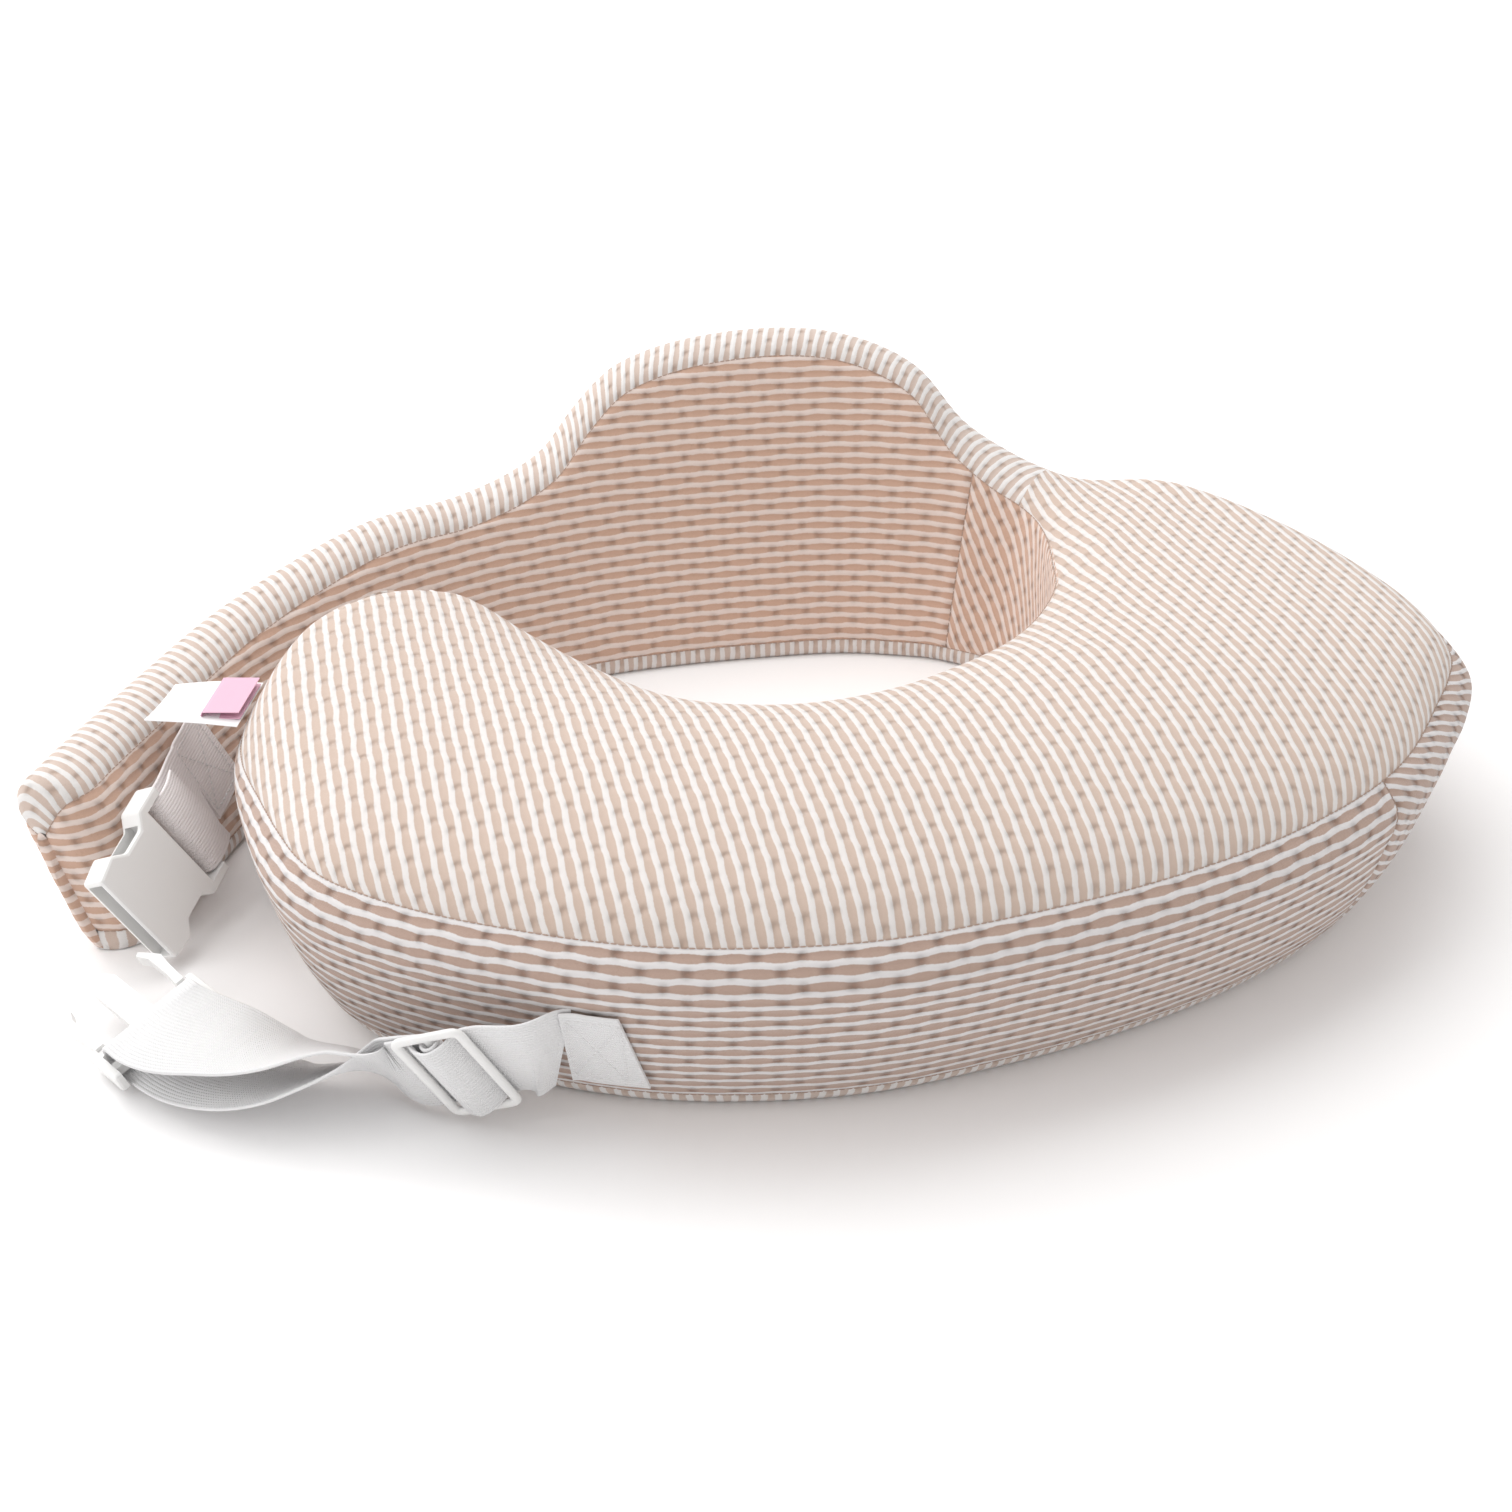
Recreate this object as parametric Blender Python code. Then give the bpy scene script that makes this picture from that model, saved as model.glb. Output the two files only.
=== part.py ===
"""Nursing pillow: a crescent foam cushion with a wrap-round back band, a removable knit cover,
a side-release buckle on webbing, an adjuster, two sewn-in labels and a zip under the cushion.

Metres, +Z up, origin at the centre of the object's footprint. The wearer stands in the gap
between cushion and band; the cushion is in front of the wearer, towards -Y.
"""

import math

import bmesh
import bpy
import numpy as np
from mathutils import Matrix, Vector
from mathutils.bvhtree import BVHTree

# Layout: plan points below are in millimetres, measured from a point in the waist gap.
MM = 0.001
CENTRE_X = 7.15
CENTRE_Y = 62.0

# Cushion
STATIONS = 26
END_CROWDING = 1.25
ROOT_SHARE = 0.93
TOP_INTERIOR = 3
SHOULDER_Z = 0.1005
CROWN_Z = 0.117
ROOT_CROWN_Z = 0.103
ARCH_Z = 0.0095
FLAT_WIDTH = 0.034

# Band
BAND_STATIONS = 17
LEAN = 0.36
TOP_ROUND = 0.016

# Layers of the soft body, measured inwards from the outside of the cover
COVER = 0.0020
LINER_TOP = 0.0027
LINER_BOTTOM = 0.0036
CORE = 0.0048
SEAM_GAP = 0.0003
ROOT_GAP = 0.0006
END_CLEARANCE = 0.002
END_DOME = 0.004

# Webbing and hardware
WEB_WIDTH = 0.045
WEB_THICK = 0.0014
FOLD_GAP = 0.0022
FOLD_LIFT = 0.0014
FEMALE_FOLD_LIFT = 0.0020
BUCKLE_WIDTH = 0.056
ADJUSTER_LENGTH = 0.054
ADJUSTER_WIDTH = 0.033
ADJUSTER_THICK = 0.003

# Places of the hardware in the layout, and the directions across and along its webbing
BAND_AXIS = (168, 288, 0)
FEMALE_PLACE = (-262, -28, 42)
FEMALE_ACROSS = (0.50, 0.25, -0.83)
FEMALE_ALONG = (-0.24, -0.93, -0.28)
FEMALE_SEWN = [(-240, 44, 49), (-240, 30, 46), (-240, 16, 43)]
ANCHOR_SEWN = [(-48, -260, 42), (-60, -260, 42), (-72, -260, 42)]
ADJUSTER_PLACE = (-117, -184, 32)
ADJUSTER_ACROSS = (0.34, 0.26, -0.88)
ADJUSTER_ALONG = (0.91, -0.20, 0.36)
MALE_PLACE = (-250, -134, 16)
MALE_ACROSS = (0.71, 0.62, 0.32)
MALE_ALONG = (-0.69, 0.72, -0.03)
ARM_ROOT = 0.021
LEAD_PLACE = (-88, -190, 42.5)
STRAP_UPPER = [((-163, -168, 29), (0.36, 0.75, -0.55)), ((-190, -165, 28), (0.45, 0.85, -0.27)),
               ((-218, -154, 30), (0.62, 0.77, 0.08))]
STRAP_LOWER = [((-218, -152, 12), (0.62, 0.77, 0.08)), ((-190, -162, 15), (0.45, 0.87, -0.20)),
               ((-161, -165, 22), (0.35, 0.80, -0.48))]
LABEL_PLACE = (-232.5, 14, 88)
ZIP_LENGTH = 0.200
ZIP_Y = -80
ZIP_START = -78

# Plan of the cushion at its widest level, from the lobe's end to the band's root
OUTER_PLAN = [
    (-165, 112), (-206, 95), (-232, 55), (-238, 5), (-222, -62), (-180, -140), (-142, -163),
    (-100, -178), (-40, -191), (0, -192), (57, -185), (104, -170), (160, -147), (224, -110),
    (284, -56), (322, 8), (343, 58), (342, 92), (324, 150), (293, 207), (250, 258), (206, 283),
    (168, 286),
]
INNER_PLAN = [
    (-165, 112), (-128, 104), (-95, 74), (-64, 42), (-27, 16), (15, 12), (54, 25), (88, 49),
    (116, 74), (140, 110), (153, 150), (148, 186),
]
# Levels of the cushion's side, as (distance in from the widest outline, height)
OUTER_LEVELS = [(30, 0), (21, 9), (10, 33), (3, 57), (0, 79), (9, 91)]
INNER_LEVELS = [(18, 0), (10, 9), (5, 33), (1, 57), (0, 77), (6, 91)]
SHOULDER_INSET = 20
# Foot of the band's inner face, as (x, y, height of the band, thickness)
BAND_PLAN = [
    (128, 209, 99, 55), (104, 222, 111, 45), (80, 228, 147, 38), (54, 231, 163, 36),
    (-3, 224, 168, 36), (-60, 211, 153, 36), (-95, 198, 115, 36), (-130, 181, 101, 36),
    (-165, 156, 100, 36), (-195, 126, 94, 36), (-221, 93, 87, 36), (-240, 52, 82, 36),
    (-252, 8, 82, 36), (-263, -34, 82, 36), (-271, -62, 80, 36),
]

# Segments of a section's ring that each panel of the cover takes
LEVELS = len(OUTER_LEVELS)
RING = 2 * LEVELS + 2 + TOP_INTERIOR + 4
INNER_WALL = range(1, LEVELS - 1)
TOP_WALL = range(LEVELS - 1, LEVELS + TOP_INTERIOR + 2)
OUTER_WALL = range(LEVELS + TOP_INTERIOR + 2, RING - 6)
BOTTOM = [0] + list(range(RING - 6, RING))


def metres(points):
    return np.array(points, float) * MM


def spline(points, count, spacing=None):
    """Smooth curve through the points, read at `count` stations spread by `spacing` (0 to 1)."""
    points = np.array(points, float)
    ends = [2 * points[0] - points[1]], [2 * points[-1] - points[-2]]
    held = np.concatenate([ends[0], points, ends[1]])
    dense = []
    for i in range(1, len(held) - 2):
        a, b, c, d = held[i - 1 : i + 3]
        for t in np.linspace(0, 1, 24, endpoint=False):
            dense.append(
                0.5 * (2 * b + (c - a) * t + (2 * a - 5 * b + 4 * c - d) * t**2
                       + (3 * b - 3 * c + d - a) * t**3)
            )
    dense.append(points[-1])
    dense = np.array(dense)
    steps = np.linalg.norm(np.diff(dense[:, :2], axis=0), axis=1)
    length = np.concatenate([[0], np.cumsum(steps)])
    share = np.linspace(0, 1, count) if spacing is None else spacing
    wanted = np.array(share) * length[-1]
    return np.array([np.interp(wanted, length, column) for column in dense.T]).T


def side_normals(path, left):
    """Unit plan normals of a path, on its left or its right."""
    tangent = np.gradient(path[:, :2], axis=0)
    tangent /= np.linalg.norm(tangent, axis=1)[:, None]
    turned = np.stack([-tangent[:, 1], tangent[:, 0]], axis=1)
    return turned if left else -turned


def cushion_sections():
    """Rings of points across the cushion, from the lobe's end towards the band's root."""
    spacing = np.linspace(0, ROOT_SHARE, STATIONS) ** END_CROWDING
    spacing = spacing / spacing[-1] * ROOT_SHARE
    outer = spline(metres(OUTER_PLAN), STATIONS, spacing)
    inner = spline(metres(INNER_PLAN), STATIONS, spacing)
    # One outline from the inner side, round the lobe's end, to the outer side
    outline = np.concatenate([inner[::-1], outer[1:]])
    inward = side_normals(outline, left=False)
    if np.dot(inward[-1], inner[-1] - outer[-1]) < 0:
        inward = -inward
    in_normal = inward[: STATIONS][::-1]
    out_normal = inward[STATIONS - 1 :]
    sections = []
    for i in range(STATIONS):
        width = np.linalg.norm(outer[i] - inner[i])
        near_root = max(0.0, (i - STATIONS + 7) / 6.0)
        slack = min(1.0, width / 0.110 + 0.45)

        def level(base, normal, inset, height):
            return np.append(base[i] + normal[i] * inset * MM * slack, height * MM)

        inner_side = []
        for inset, height in INNER_LEVELS:
            inner_side.append(level(inner, in_normal, inset * (1 - 0.9 * near_root), height))
        outer_side = []
        for inset, height in OUTER_LEVELS:
            outer_side.append(level(outer, out_normal, inset * (1 + 0.3 * near_root), height))
        inner_shoulder = level(inner, in_normal, SHOULDER_INSET, SHOULDER_Z / MM)
        outer_shoulder = level(outer, out_normal, SHOULDER_INSET, SHOULDER_Z / MM)
        crown = CROWN_Z + (ROOT_CROWN_Z - CROWN_Z) * near_root
        crown = SHOULDER_Z + (crown - SHOULDER_Z) * min(1.0, width / 0.120)
        top = []
        for k in range(1, TOP_INTERIOR + 1):
            s = k / (TOP_INTERIOR + 1)
            point = inner_shoulder * (1 - s) + outer_shoulder * s
            point[2] = SHOULDER_Z + (crown - SHOULDER_Z) * (1 - abs(2 * s - 1) ** 2.4)
            top.append(point)
        across = outer_side[0] - inner_side[0]
        span = np.linalg.norm(across)
        flat = min(FLAT_WIDTH / max(span, 1e-9), 0.3)
        arch = min(flat + 0.06, 0.38)
        arch_z = ARCH_Z * max(0.0, min(1.0, (span - 0.030) / 0.070)) * (1 - near_root)
        bottom = []
        for share, height in ((1 - flat, 0), (1 - arch, arch_z), (arch, arch_z), (flat, 0)):
            point = inner_side[0] + across * share
            point[2] = height
            bottom.append(point)
        ring = inner_side + [inner_shoulder] + top + [outer_shoulder] + outer_side[::-1] + bottom
        sections.append(np.array(ring))
    return sections


def band_sections():
    """Rings of points across the band, from its root to its free end."""
    path = spline(metres(BAND_PLAN), BAND_STATIONS)
    outward = side_normals(path, left=False)
    if np.dot(outward[BAND_STATIONS // 3], [0, 1]) < 0:
        outward = -outward
    sections = []
    for (x, y, height, thick), normal in zip(path, outward):

        def at(across, z):
            reach = across + LEAN * z
            return np.array([x + normal[0] * reach, y + normal[1] * reach, z])

        seam = height - TOP_ROUND
        heights = [0, 0.009, 0.25 * seam, 0.5 * seam, 0.78 * seam, seam]
        insets = [0.007, 0.001, 0, 0, 0, 0]
        inner_side = [at(d, z) for d, z in zip(insets, heights)]
        outer_side = [at(thick - d, z) for d, z in zip(insets, heights)]
        top = []
        for k in range(1, TOP_INTERIOR + 3):
            angle = math.pi * k / (TOP_INTERIOR + 3)
            top.append(at(thick / 2 * (1 - math.cos(angle)), seam + TOP_ROUND * math.sin(angle)))
        foot = [at(thick / 2 + d, 0) for d in (0.004, 0.0014, -0.0014, -0.004)]
        sections.append(np.array(inner_side + top + outer_side[::-1] + foot))
    return sections


def soft_surface():
    """The whole outside of the pillow as points, quads with (station, segment), and normals."""
    rings = cushion_sections() + band_sections()
    centred = [ring - np.array([CENTRE_X, CENTRE_Y, 0]) * [MM, MM, 1] for ring in rings]
    points = np.concatenate(centred)
    quads = []
    for i in range(len(rings) - 1):
        for j in range(RING):
            after = (j + 1) % RING
            quads.append((i * RING + j, i * RING + after, (i + 1) * RING + after, (i + 1) * RING + j))
    # The rings at the lobe's end and at the band's free end are closed by what lies across them
    keep = lobe_end_index()
    quads = [tuple(keep.get(v, v) for v in quad) for quad in quads]
    normals = np.zeros_like(points)
    for a, b, c, d in quads:
        normal = np.cross(points[c] - points[a], points[d] - points[b])
        for v in {a, b, c, d}:
            normals[v] += normal
    return points, quads, normals


def lobe_end_index():
    """At the lobe's end the two sides of the section are one line: outer points become inner ones."""
    keep = {}
    for k in range(LEVELS):
        keep[RING - 5 - k] = k
    for j in range(LEVELS + 1, LEVELS + TOP_INTERIOR + 2):
        keep[j] = LEVELS
    for j in range(RING - 4, RING):
        keep[j] = 0
    return keep


def material(name, colour, roughness, metallic=0.0):
    made = bpy.data.materials.get(name) or bpy.data.materials.new(name)
    made.use_nodes = True
    shader = made.node_tree.nodes["Principled BSDF"]
    shader.inputs["Base Color"].default_value = (*colour, 1)
    shader.inputs["Roughness"].default_value = roughness
    shader.inputs["Metallic"].default_value = metallic
    return made


def add_object(name, points, faces, finish, parent=None, matrix=None):
    mesh = bpy.data.meshes.new(name)
    mesh.from_pydata([tuple(p) for p in points], [], faces)
    mesh.validate()
    mesh.materials.append(finish)
    made = bpy.data.objects.new(name, mesh)
    bpy.context.scene.collection.objects.link(made)
    if matrix is not None:
        made.matrix_world = matrix
    if parent is not None:
        made.parent = parent
        made.matrix_parent_inverse = parent.matrix_world.inverted()
    return made


def triangles(quads):
    """Quads cut along the same diagonal in every layer, so that the layers stay parallel."""
    kept = []
    for a, b, c, d in quads:
        for corners in ([a, b, c], [a, c, d]):
            if len(set(corners)) == 3:
                kept.append(corners)
    return kept


def border_edges(faces):
    count = {}
    for face in faces:
        for a, b in zip(face, face[1:] + face[:1]):
            count[(a, b)] = count.get((a, b), 0) + 1
    return [(a, b) for a, b in count if (b, a) not in count]


def shell(name, points, normals, faces, top, bottom, finish, parent=None, gap=SEAM_GAP, shift=None):
    """A panel of cloth: faces of the surface between two depths, its border drawn in by half a gap."""
    faces = triangles(faces)
    used = sorted({v for face in faces for v in face})
    place = points.copy()
    edges = border_edges(faces)
    rim = {v for edge in edges for v in edge}
    inside = {v: [] for v in rim}
    for a, b in edges:
        for v in (a, b):
            pull = np.cross(normals[v], points[b] - points[a])
            inside[v].append(pull / max(np.linalg.norm(pull), 1e-9))
    for v, pulls in inside.items():
        pull = sum(pulls)
        size = np.linalg.norm(pull)
        # A corner moves further, so that both of its edges draw in by the same gap
        mitre = min(2 / max(size, 1e-9), 1.6) if len(pulls) > 1 else 1
        place[v] = points[v] + pull / max(size, 1e-9) * gap * mitre
    if shift is not None:
        for v, move in shift.items():
            place[v] = place[v] + move
    index = {v: n for n, v in enumerate(used)}
    outer = [place[v] - normals[v] * top for v in used]
    inner = [place[v] - normals[v] * bottom for v in used]
    total = len(used)
    built = [[index[v] for v in face] for face in faces]
    built += [[index[v] + total for v in reversed(face)] for face in faces]
    for a, b in edges:
        built.append([index[b], index[a], index[a] + total, index[b] + total])
    return add_object(name, outer + inner, built, finish, parent)


def core(name, points, normals, faces, depth, finish, rings, parent=None):
    """A foam block: the faces moved in by `depth`, its open ends closed by fans."""
    faces = triangles(faces)
    used = sorted({v for face in faces for v in face})
    index = {v: n for n, v in enumerate(used)}
    placed = [points[v] - normals[v] * depth for v in used]
    built = [[index[v] for v in face] for face in faces]
    edges = border_edges(faces)
    for start, step, distance in rings:
        members = set(range(start, start + RING))
        loop = [(a, b) for a, b in edges if a in members and b in members]
        for v in members:
            away = placed[index[v + step]] - placed[index[v]]
            placed[index[v]] = placed[index[v]] + away / np.linalg.norm(away) * distance
        placed.append(np.mean([placed[index[a]] for a, _ in loop], axis=0))
        hub = len(placed) - 1
        built += [[index[b], index[a], hub] for a, b in loop]
    return add_object(name, placed, built, finish, parent)


def soft_body(finishes, band_parent):
    """Foam cores, liners and cover panels of the cushion and the band."""
    points, quads, normals = soft_surface()
    lengths = np.linalg.norm(normals, axis=1)
    normals = normals / np.maximum(lengths, 1e-12)[:, None]
    middle = points[RING * (STATIONS - 4) : RING * (STATIONS - 3)].mean(axis=0)
    probe = RING * (STATIONS - 4) + LEVELS + 2
    if np.dot(normals[probe], points[probe] - middle) < 0:
        normals = -normals
        quads = [quad[::-1] for quad in quads]
    last = STATIONS + BAND_STATIONS - 1
    front_end, gusset_start, root = STATIONS - 9, STATIONS - 5, STATIONS

    def faces(stations, segments):
        return [list(quads[i * RING + j]) for i in stations for j in segments]

    # The band's own pieces start a hair after the root section, so that nothing touches
    root_ring = range(root * RING, (root + 1) * RING)
    ahead = points[(root + 1) * RING + 3] - points[root * RING + 3]
    ahead = ahead * [1, 1, 0] / np.linalg.norm(ahead[:2]) * ROOT_GAP
    move_on = {v: ahead for v in root_ring}
    cushion, band = range(0, root), range(root, last)
    knit, liner, foam = finishes["knit"], finishes["liner"], finishes["foam"]
    everything = range(RING)

    def layer(name, stations, segments, parent=None):
        shift = move_on if stations[0] == root else None
        shell(name, points, normals, faces(stations, segments), 0, COVER, knit, parent, shift=shift)

    layer("cover_top_panel", cushion, TOP_WALL)
    layer("cover_front_wall", range(0, front_end), OUTER_WALL)
    layer("cover_back_wall", range(front_end, root), OUTER_WALL)
    layer("cover_inner_wall", range(0, gusset_start), INNER_WALL)
    layer("cover_gusset", range(gusset_start, root), INNER_WALL)
    layer("cover_bottom_panel", cushion, BOTTOM)
    layer("band_inner_face", band, INNER_WALL, band_parent)
    layer("band_outer_face", band, OUTER_WALL, band_parent)
    layer("band_top_strip", band, TOP_WALL, band_parent)
    layer("band_bottom_strip", band, BOTTOM, band_parent)
    shell("cushion_liner", points, normals, faces(cushion, everything), LINER_TOP, LINER_BOTTOM,
          liner)
    shell("band_liner", points, normals, faces(band, everything), LINER_TOP, LINER_BOTTOM,
          liner, band_parent, shift=move_on)
    core("cushion_foam_core", points, normals, faces(cushion, everything), CORE, foam,
         [(root * RING, -RING, ROOT_GAP)])
    tip = last * RING
    end_ring = points[tip : tip + RING]
    onward = points[tip + 3] - points[tip + 3 - RING]
    onward = onward * [1, 1, 0] / np.linalg.norm(onward[:2])
    core("band_foam_core", points, normals, faces(band, everything), CORE, foam,
         [(root * RING, RING, 2 * ROOT_GAP), (tip, -RING, END_CLEARANCE)], band_parent)
    end_panel(end_ring, onward, knit, band_parent)
    return points, faces(cushion, everything), faces(band, everything)


def end_panel(ring, onward, finish, parent):
    """The panel that closes the cover at the band's free end, slightly domed."""
    count = len(ring)
    hub = ring.mean(axis=0)
    near = ring + onward * SEAM_GAP
    middle = hub + (ring - hub) * 0.6 + onward * END_DOME
    points = list(near) + list(middle)
    points += [hub + onward * (END_DOME + 0.001), hub + onward * (SEAM_GAP + 0.001)]
    faces = []
    for j in range(count):
        after = (j + 1) % count
        faces.append([j, after, count + after, count + j])
        faces.append([count + j, count + after, 2 * count])
        faces.append([after, j, 2 * count + 1])
    outward(add_object("band_end_panel", points, faces, finish, parent))


def outward(made):
    """Turns the faces of a closed mesh to point out."""
    work = bmesh.new()
    work.from_mesh(made.data)
    bmesh.ops.remove_doubles(work, verts=work.verts, dist=1e-7)
    if work.calc_volume(signed=True) < 0:
        bmesh.ops.reverse_faces(work, faces=work.faces)
    work.to_mesh(made.data)
    work.free()
    return made


def layout(place):
    """World position in metres of a place given in the layout's millimetres."""
    return Vector((place[0] - CENTRE_X, place[1] - CENTRE_Y, place[2])) * MM


def frame_matrix(place, across, along):
    """A piece's own frame: X across the webbing, Y along it, Z out of the piece's face."""
    y = Vector(along).normalized()
    x = Vector(across)
    x = (x - y * x.dot(y)).normalized()
    turned = Matrix((x, y, x.cross(y))).transposed().to_4x4()
    return Matrix.Translation(layout(place)) @ turned


def prism(name, outline, low, high, finish, parent=None, matrix=None, bevel=0.0, segments=2):
    """A plate of a given outline between two heights, its long edges rounded."""
    count = len(outline)
    points = [(x, y, low) for x, y in outline] + [(x, y, high) for x, y in outline]
    faces = [list(range(count))[::-1], list(range(count, 2 * count))]
    for n in range(count):
        after = (n + 1) % count
        faces.append([n, after, count + after, count + n])
    made = add_object(name, points, faces, finish, parent, matrix)
    outward(made)
    if bevel:
        round_edges(made, bevel, segments)
    return made


def round_edges(made, width, segments):
    edge = made.modifiers.new("rounded", "BEVEL")
    edge.width = width
    edge.segments = segments
    edge.limit_method = "ANGLE"
    edge.angle_limit = math.radians(40)


def block(name, low, high, finish, parent=None, matrix=None, bevel=0.0, segments=2):
    outline = [(low[0], low[1]), (high[0], low[1]), (high[0], high[1]), (low[0], high[1])]
    return prism(name, outline, low[2], high[2], finish, parent, matrix, bevel, segments)


def apply_modifiers(made):
    graph = bpy.context.evaluated_depsgraph_get()
    solved = bpy.data.meshes.new_from_object(made.evaluated_get(graph))
    made.modifiers.clear()
    made.data = solved


def combine(made, tool, operation):
    """Cuts or joins a helper into an object and removes the helper."""
    change = made.modifiers.new(operation.lower(), "BOOLEAN")
    change.operation = operation
    change.object = tool
    bpy.context.view_layer.update()
    apply_modifiers(made)
    bpy.data.objects.remove(tool)


def empty(name, location=None, matrix=None):
    made = bpy.data.objects.new(name, None)
    bpy.context.scene.collection.objects.link(made)
    made.matrix_world = matrix if matrix is not None else Matrix.Translation(location)
    bpy.context.view_layer.update()
    return made


def adjuster(frame, finish, parent):
    """A tri-glide: an oblong frame with two slots and a bar between them."""
    half_l, half_w, half_t = ADJUSTER_LENGTH / 2, ADJUSTER_WIDTH / 2, ADJUSTER_THICK / 2
    body = block("adjuster", (-half_l, -half_w, -half_t), (half_l, half_w, half_t), finish,
                 parent, frame, bevel=0.0012)
    apply_modifiers(body)
    slot_half = WEB_WIDTH / 2 + 0.001
    for side in (-1, 1):
        near, far = sorted((side * 0.0022, side * 0.0128))
        cutter = block("slot", (-slot_half, near, -0.01), (slot_half, far, 0.01), finish,
                       parent, frame)
        combine(body, cutter, "DIFFERENCE")
    return body


def female_buckle(frame, finish, parent):
    """The socket half: a flat hollow body open at its mouth, notched sides, a bar for webbing."""
    w = BUCKLE_WIDTH / 2
    outline = [
        (-w, -0.006), (w, -0.006), (w, 0.010), (w - 0.006, 0.016), (w - 0.006, 0.030),
        (w, 0.037), (w - 0.002, 0.050), (-w + 0.002, 0.050), (-w, 0.037), (-w + 0.006, 0.030),
        (-w + 0.006, 0.016), (-w, 0.010),
    ]
    body = prism("female_buckle_body", outline, -0.006, 0.006, finish, parent, frame, 0.0014)
    apply_modifiers(body)
    slot = WEB_WIDTH / 2 + 0.001
    cuts = [
        ((-slot, -0.0015, -0.02), (slot, 0.0070, 0.02)),
        ((-slot, -0.0100, 0.0024), (slot, -0.0010, 0.02)),
        ((-slot, -0.0100, -0.02), (slot, -0.0010, -0.0024)),
        ((-0.0235, 0.0120, -0.0040), (0.0235, 0.0600, 0.0040)),
        ((-0.0400, 0.0175, -0.0030), (0.0400, 0.0285, 0.0030)),
    ]
    for low, high in cuts:
        combine(body, block("cut", low, high, finish, parent, frame), "DIFFERENCE")
    return body


def male_base(frame, finish, parent):
    """The plug half's frame: two ears, a bar for webbing, a low front beam and the guide on it."""
    w = BUCKLE_WIDTH / 2 - 0.001
    body = block("male_buckle_body", (-w, -0.013, -0.0055), (w, 0.010, 0.0035), finish, parent,
                 frame, 0.0014)
    apply_modifiers(body)
    guide = [(-0.006, 0.008), (0.006, 0.008), (0.006, 0.041), (0.003, 0.047), (-0.003, 0.047),
             (-0.006, 0.041)]
    slot = WEB_WIDTH / 2 + 0.001
    cuts = [
        ((-slot, -0.0028, -0.02), (slot, 0.0058, 0.02)),
        ((-slot, -0.0200, 0.0021), (slot, -0.0020, 0.02)),
        ((-slot, -0.0200, -0.02), (slot, -0.0020, -0.0021)),
        ((-slot, -0.0200, -0.02), (slot, -0.0072, 0.02)),
        ((-slot, 0.0050, 0.0008), (slot, 0.0200, 0.02)),
    ]
    for low, high in cuts:
        combine(body, block("cut", low, high, finish, parent, frame), "DIFFERENCE")
    combine(body, prism("guide", guide, -0.0030, 0.0024, finish, parent, frame), "UNION")
    return body


def male_arm(name, side, frame, finish, parent):
    """A springy side arm with a barb at its tip, standing on the frame's front edge."""
    outline = [
        (0.0190, 0.0103), (0.0230, 0.0103), (0.0236, 0.0190), (0.0240, 0.0240), (0.0250, 0.0320),
        (0.0228, 0.0370), (0.0195, 0.0430), (0.0175, 0.0415), (0.0200, 0.0350), (0.0200, 0.0270),
        (0.0198, 0.0190),
    ]
    outline = [(side * x, y) for x, y in outline]
    return prism(name, outline[::side], -0.0026, 0.0026, finish, parent, frame)


def in_frame(frame, rows):
    """World positions of (along, out) millimetre pairs on a frame's middle plane."""
    return [frame @ Vector((0, y * MM, z * MM)) for y, z in rows]


def round_bar(centre, radius, start, end, turns):
    """(along, out) pairs round a bar from one angle to another, in degrees."""
    angles = [math.radians(start + (end - start) * k / turns) for k in range(turns + 1)]
    return [(centre + radius * math.cos(a), radius * math.sin(a)) for a in angles]


def ribbon(name, places, across, finish, parent=None, width=WEB_WIDTH, thick=WEB_THICK, steps=1):
    """Webbing laid along world places, its width turned to `across` at each of them."""
    spread = [tuple(p) + tuple(Vector(a).normalized()) for p, a in zip(places, across)]
    path = smooth_rows(spread, steps)
    centre = path[:, :3]
    tangent = np.gradient(centre, axis=0)
    tangent /= np.linalg.norm(tangent, axis=1)[:, None]
    wide = path[:, 3:]
    wide = wide - tangent * np.sum(wide * tangent, axis=1)[:, None]
    wide /= np.linalg.norm(wide, axis=1)[:, None]
    out = np.cross(wide, tangent)
    points, faces = [], []
    for c, w, n in zip(centre, wide, out):
        for s, t in ((-1, -1), (1, -1), (1, 1), (-1, 1)):
            points.append(c + w * s * width / 2 + n * t * thick / 2)
    for k in range(len(centre) - 1):
        for j in range(4):
            a, b = 4 * k + j, 4 * k + (j + 1) % 4
            c, d = b + 4, a + 4
            # The same diagonal above and below, so that twisted webbing keeps its thickness
            faces += [[a, b, c], [a, c, d]] if j < 2 else [[a, b, d], [b, c, d]]
    faces.append([3, 2, 1, 0])
    faces.append([4 * (len(centre) - 1) + j for j in range(4)])
    return outward(add_object(name, points, faces, finish, parent))


def smooth_rows(rows, steps):
    """Rows of values along a smooth curve through them, with the same steps between each two."""
    rows = np.array(rows, float)
    lengths = np.concatenate([[0], np.cumsum(np.linalg.norm(np.diff(rows[:, :3], axis=0), axis=1))])
    slopes = np.gradient(rows, lengths, axis=0)
    out = [rows[0]]
    for k in range(len(rows) - 1):
        gap = lengths[k + 1] - lengths[k]
        for t in np.linspace(0, 1, steps + 1)[1:]:
            a, b, da, db = rows[k], rows[k + 1], slopes[k] * gap, slopes[k + 1] * gap
            out.append((2 * t**3 - 3 * t**2 + 1) * a + (t**3 - 2 * t**2 + t) * da
                       + (3 * t**2 - 2 * t**3) * b + (t**3 - t**2) * db)
    return np.array(out)


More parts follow.
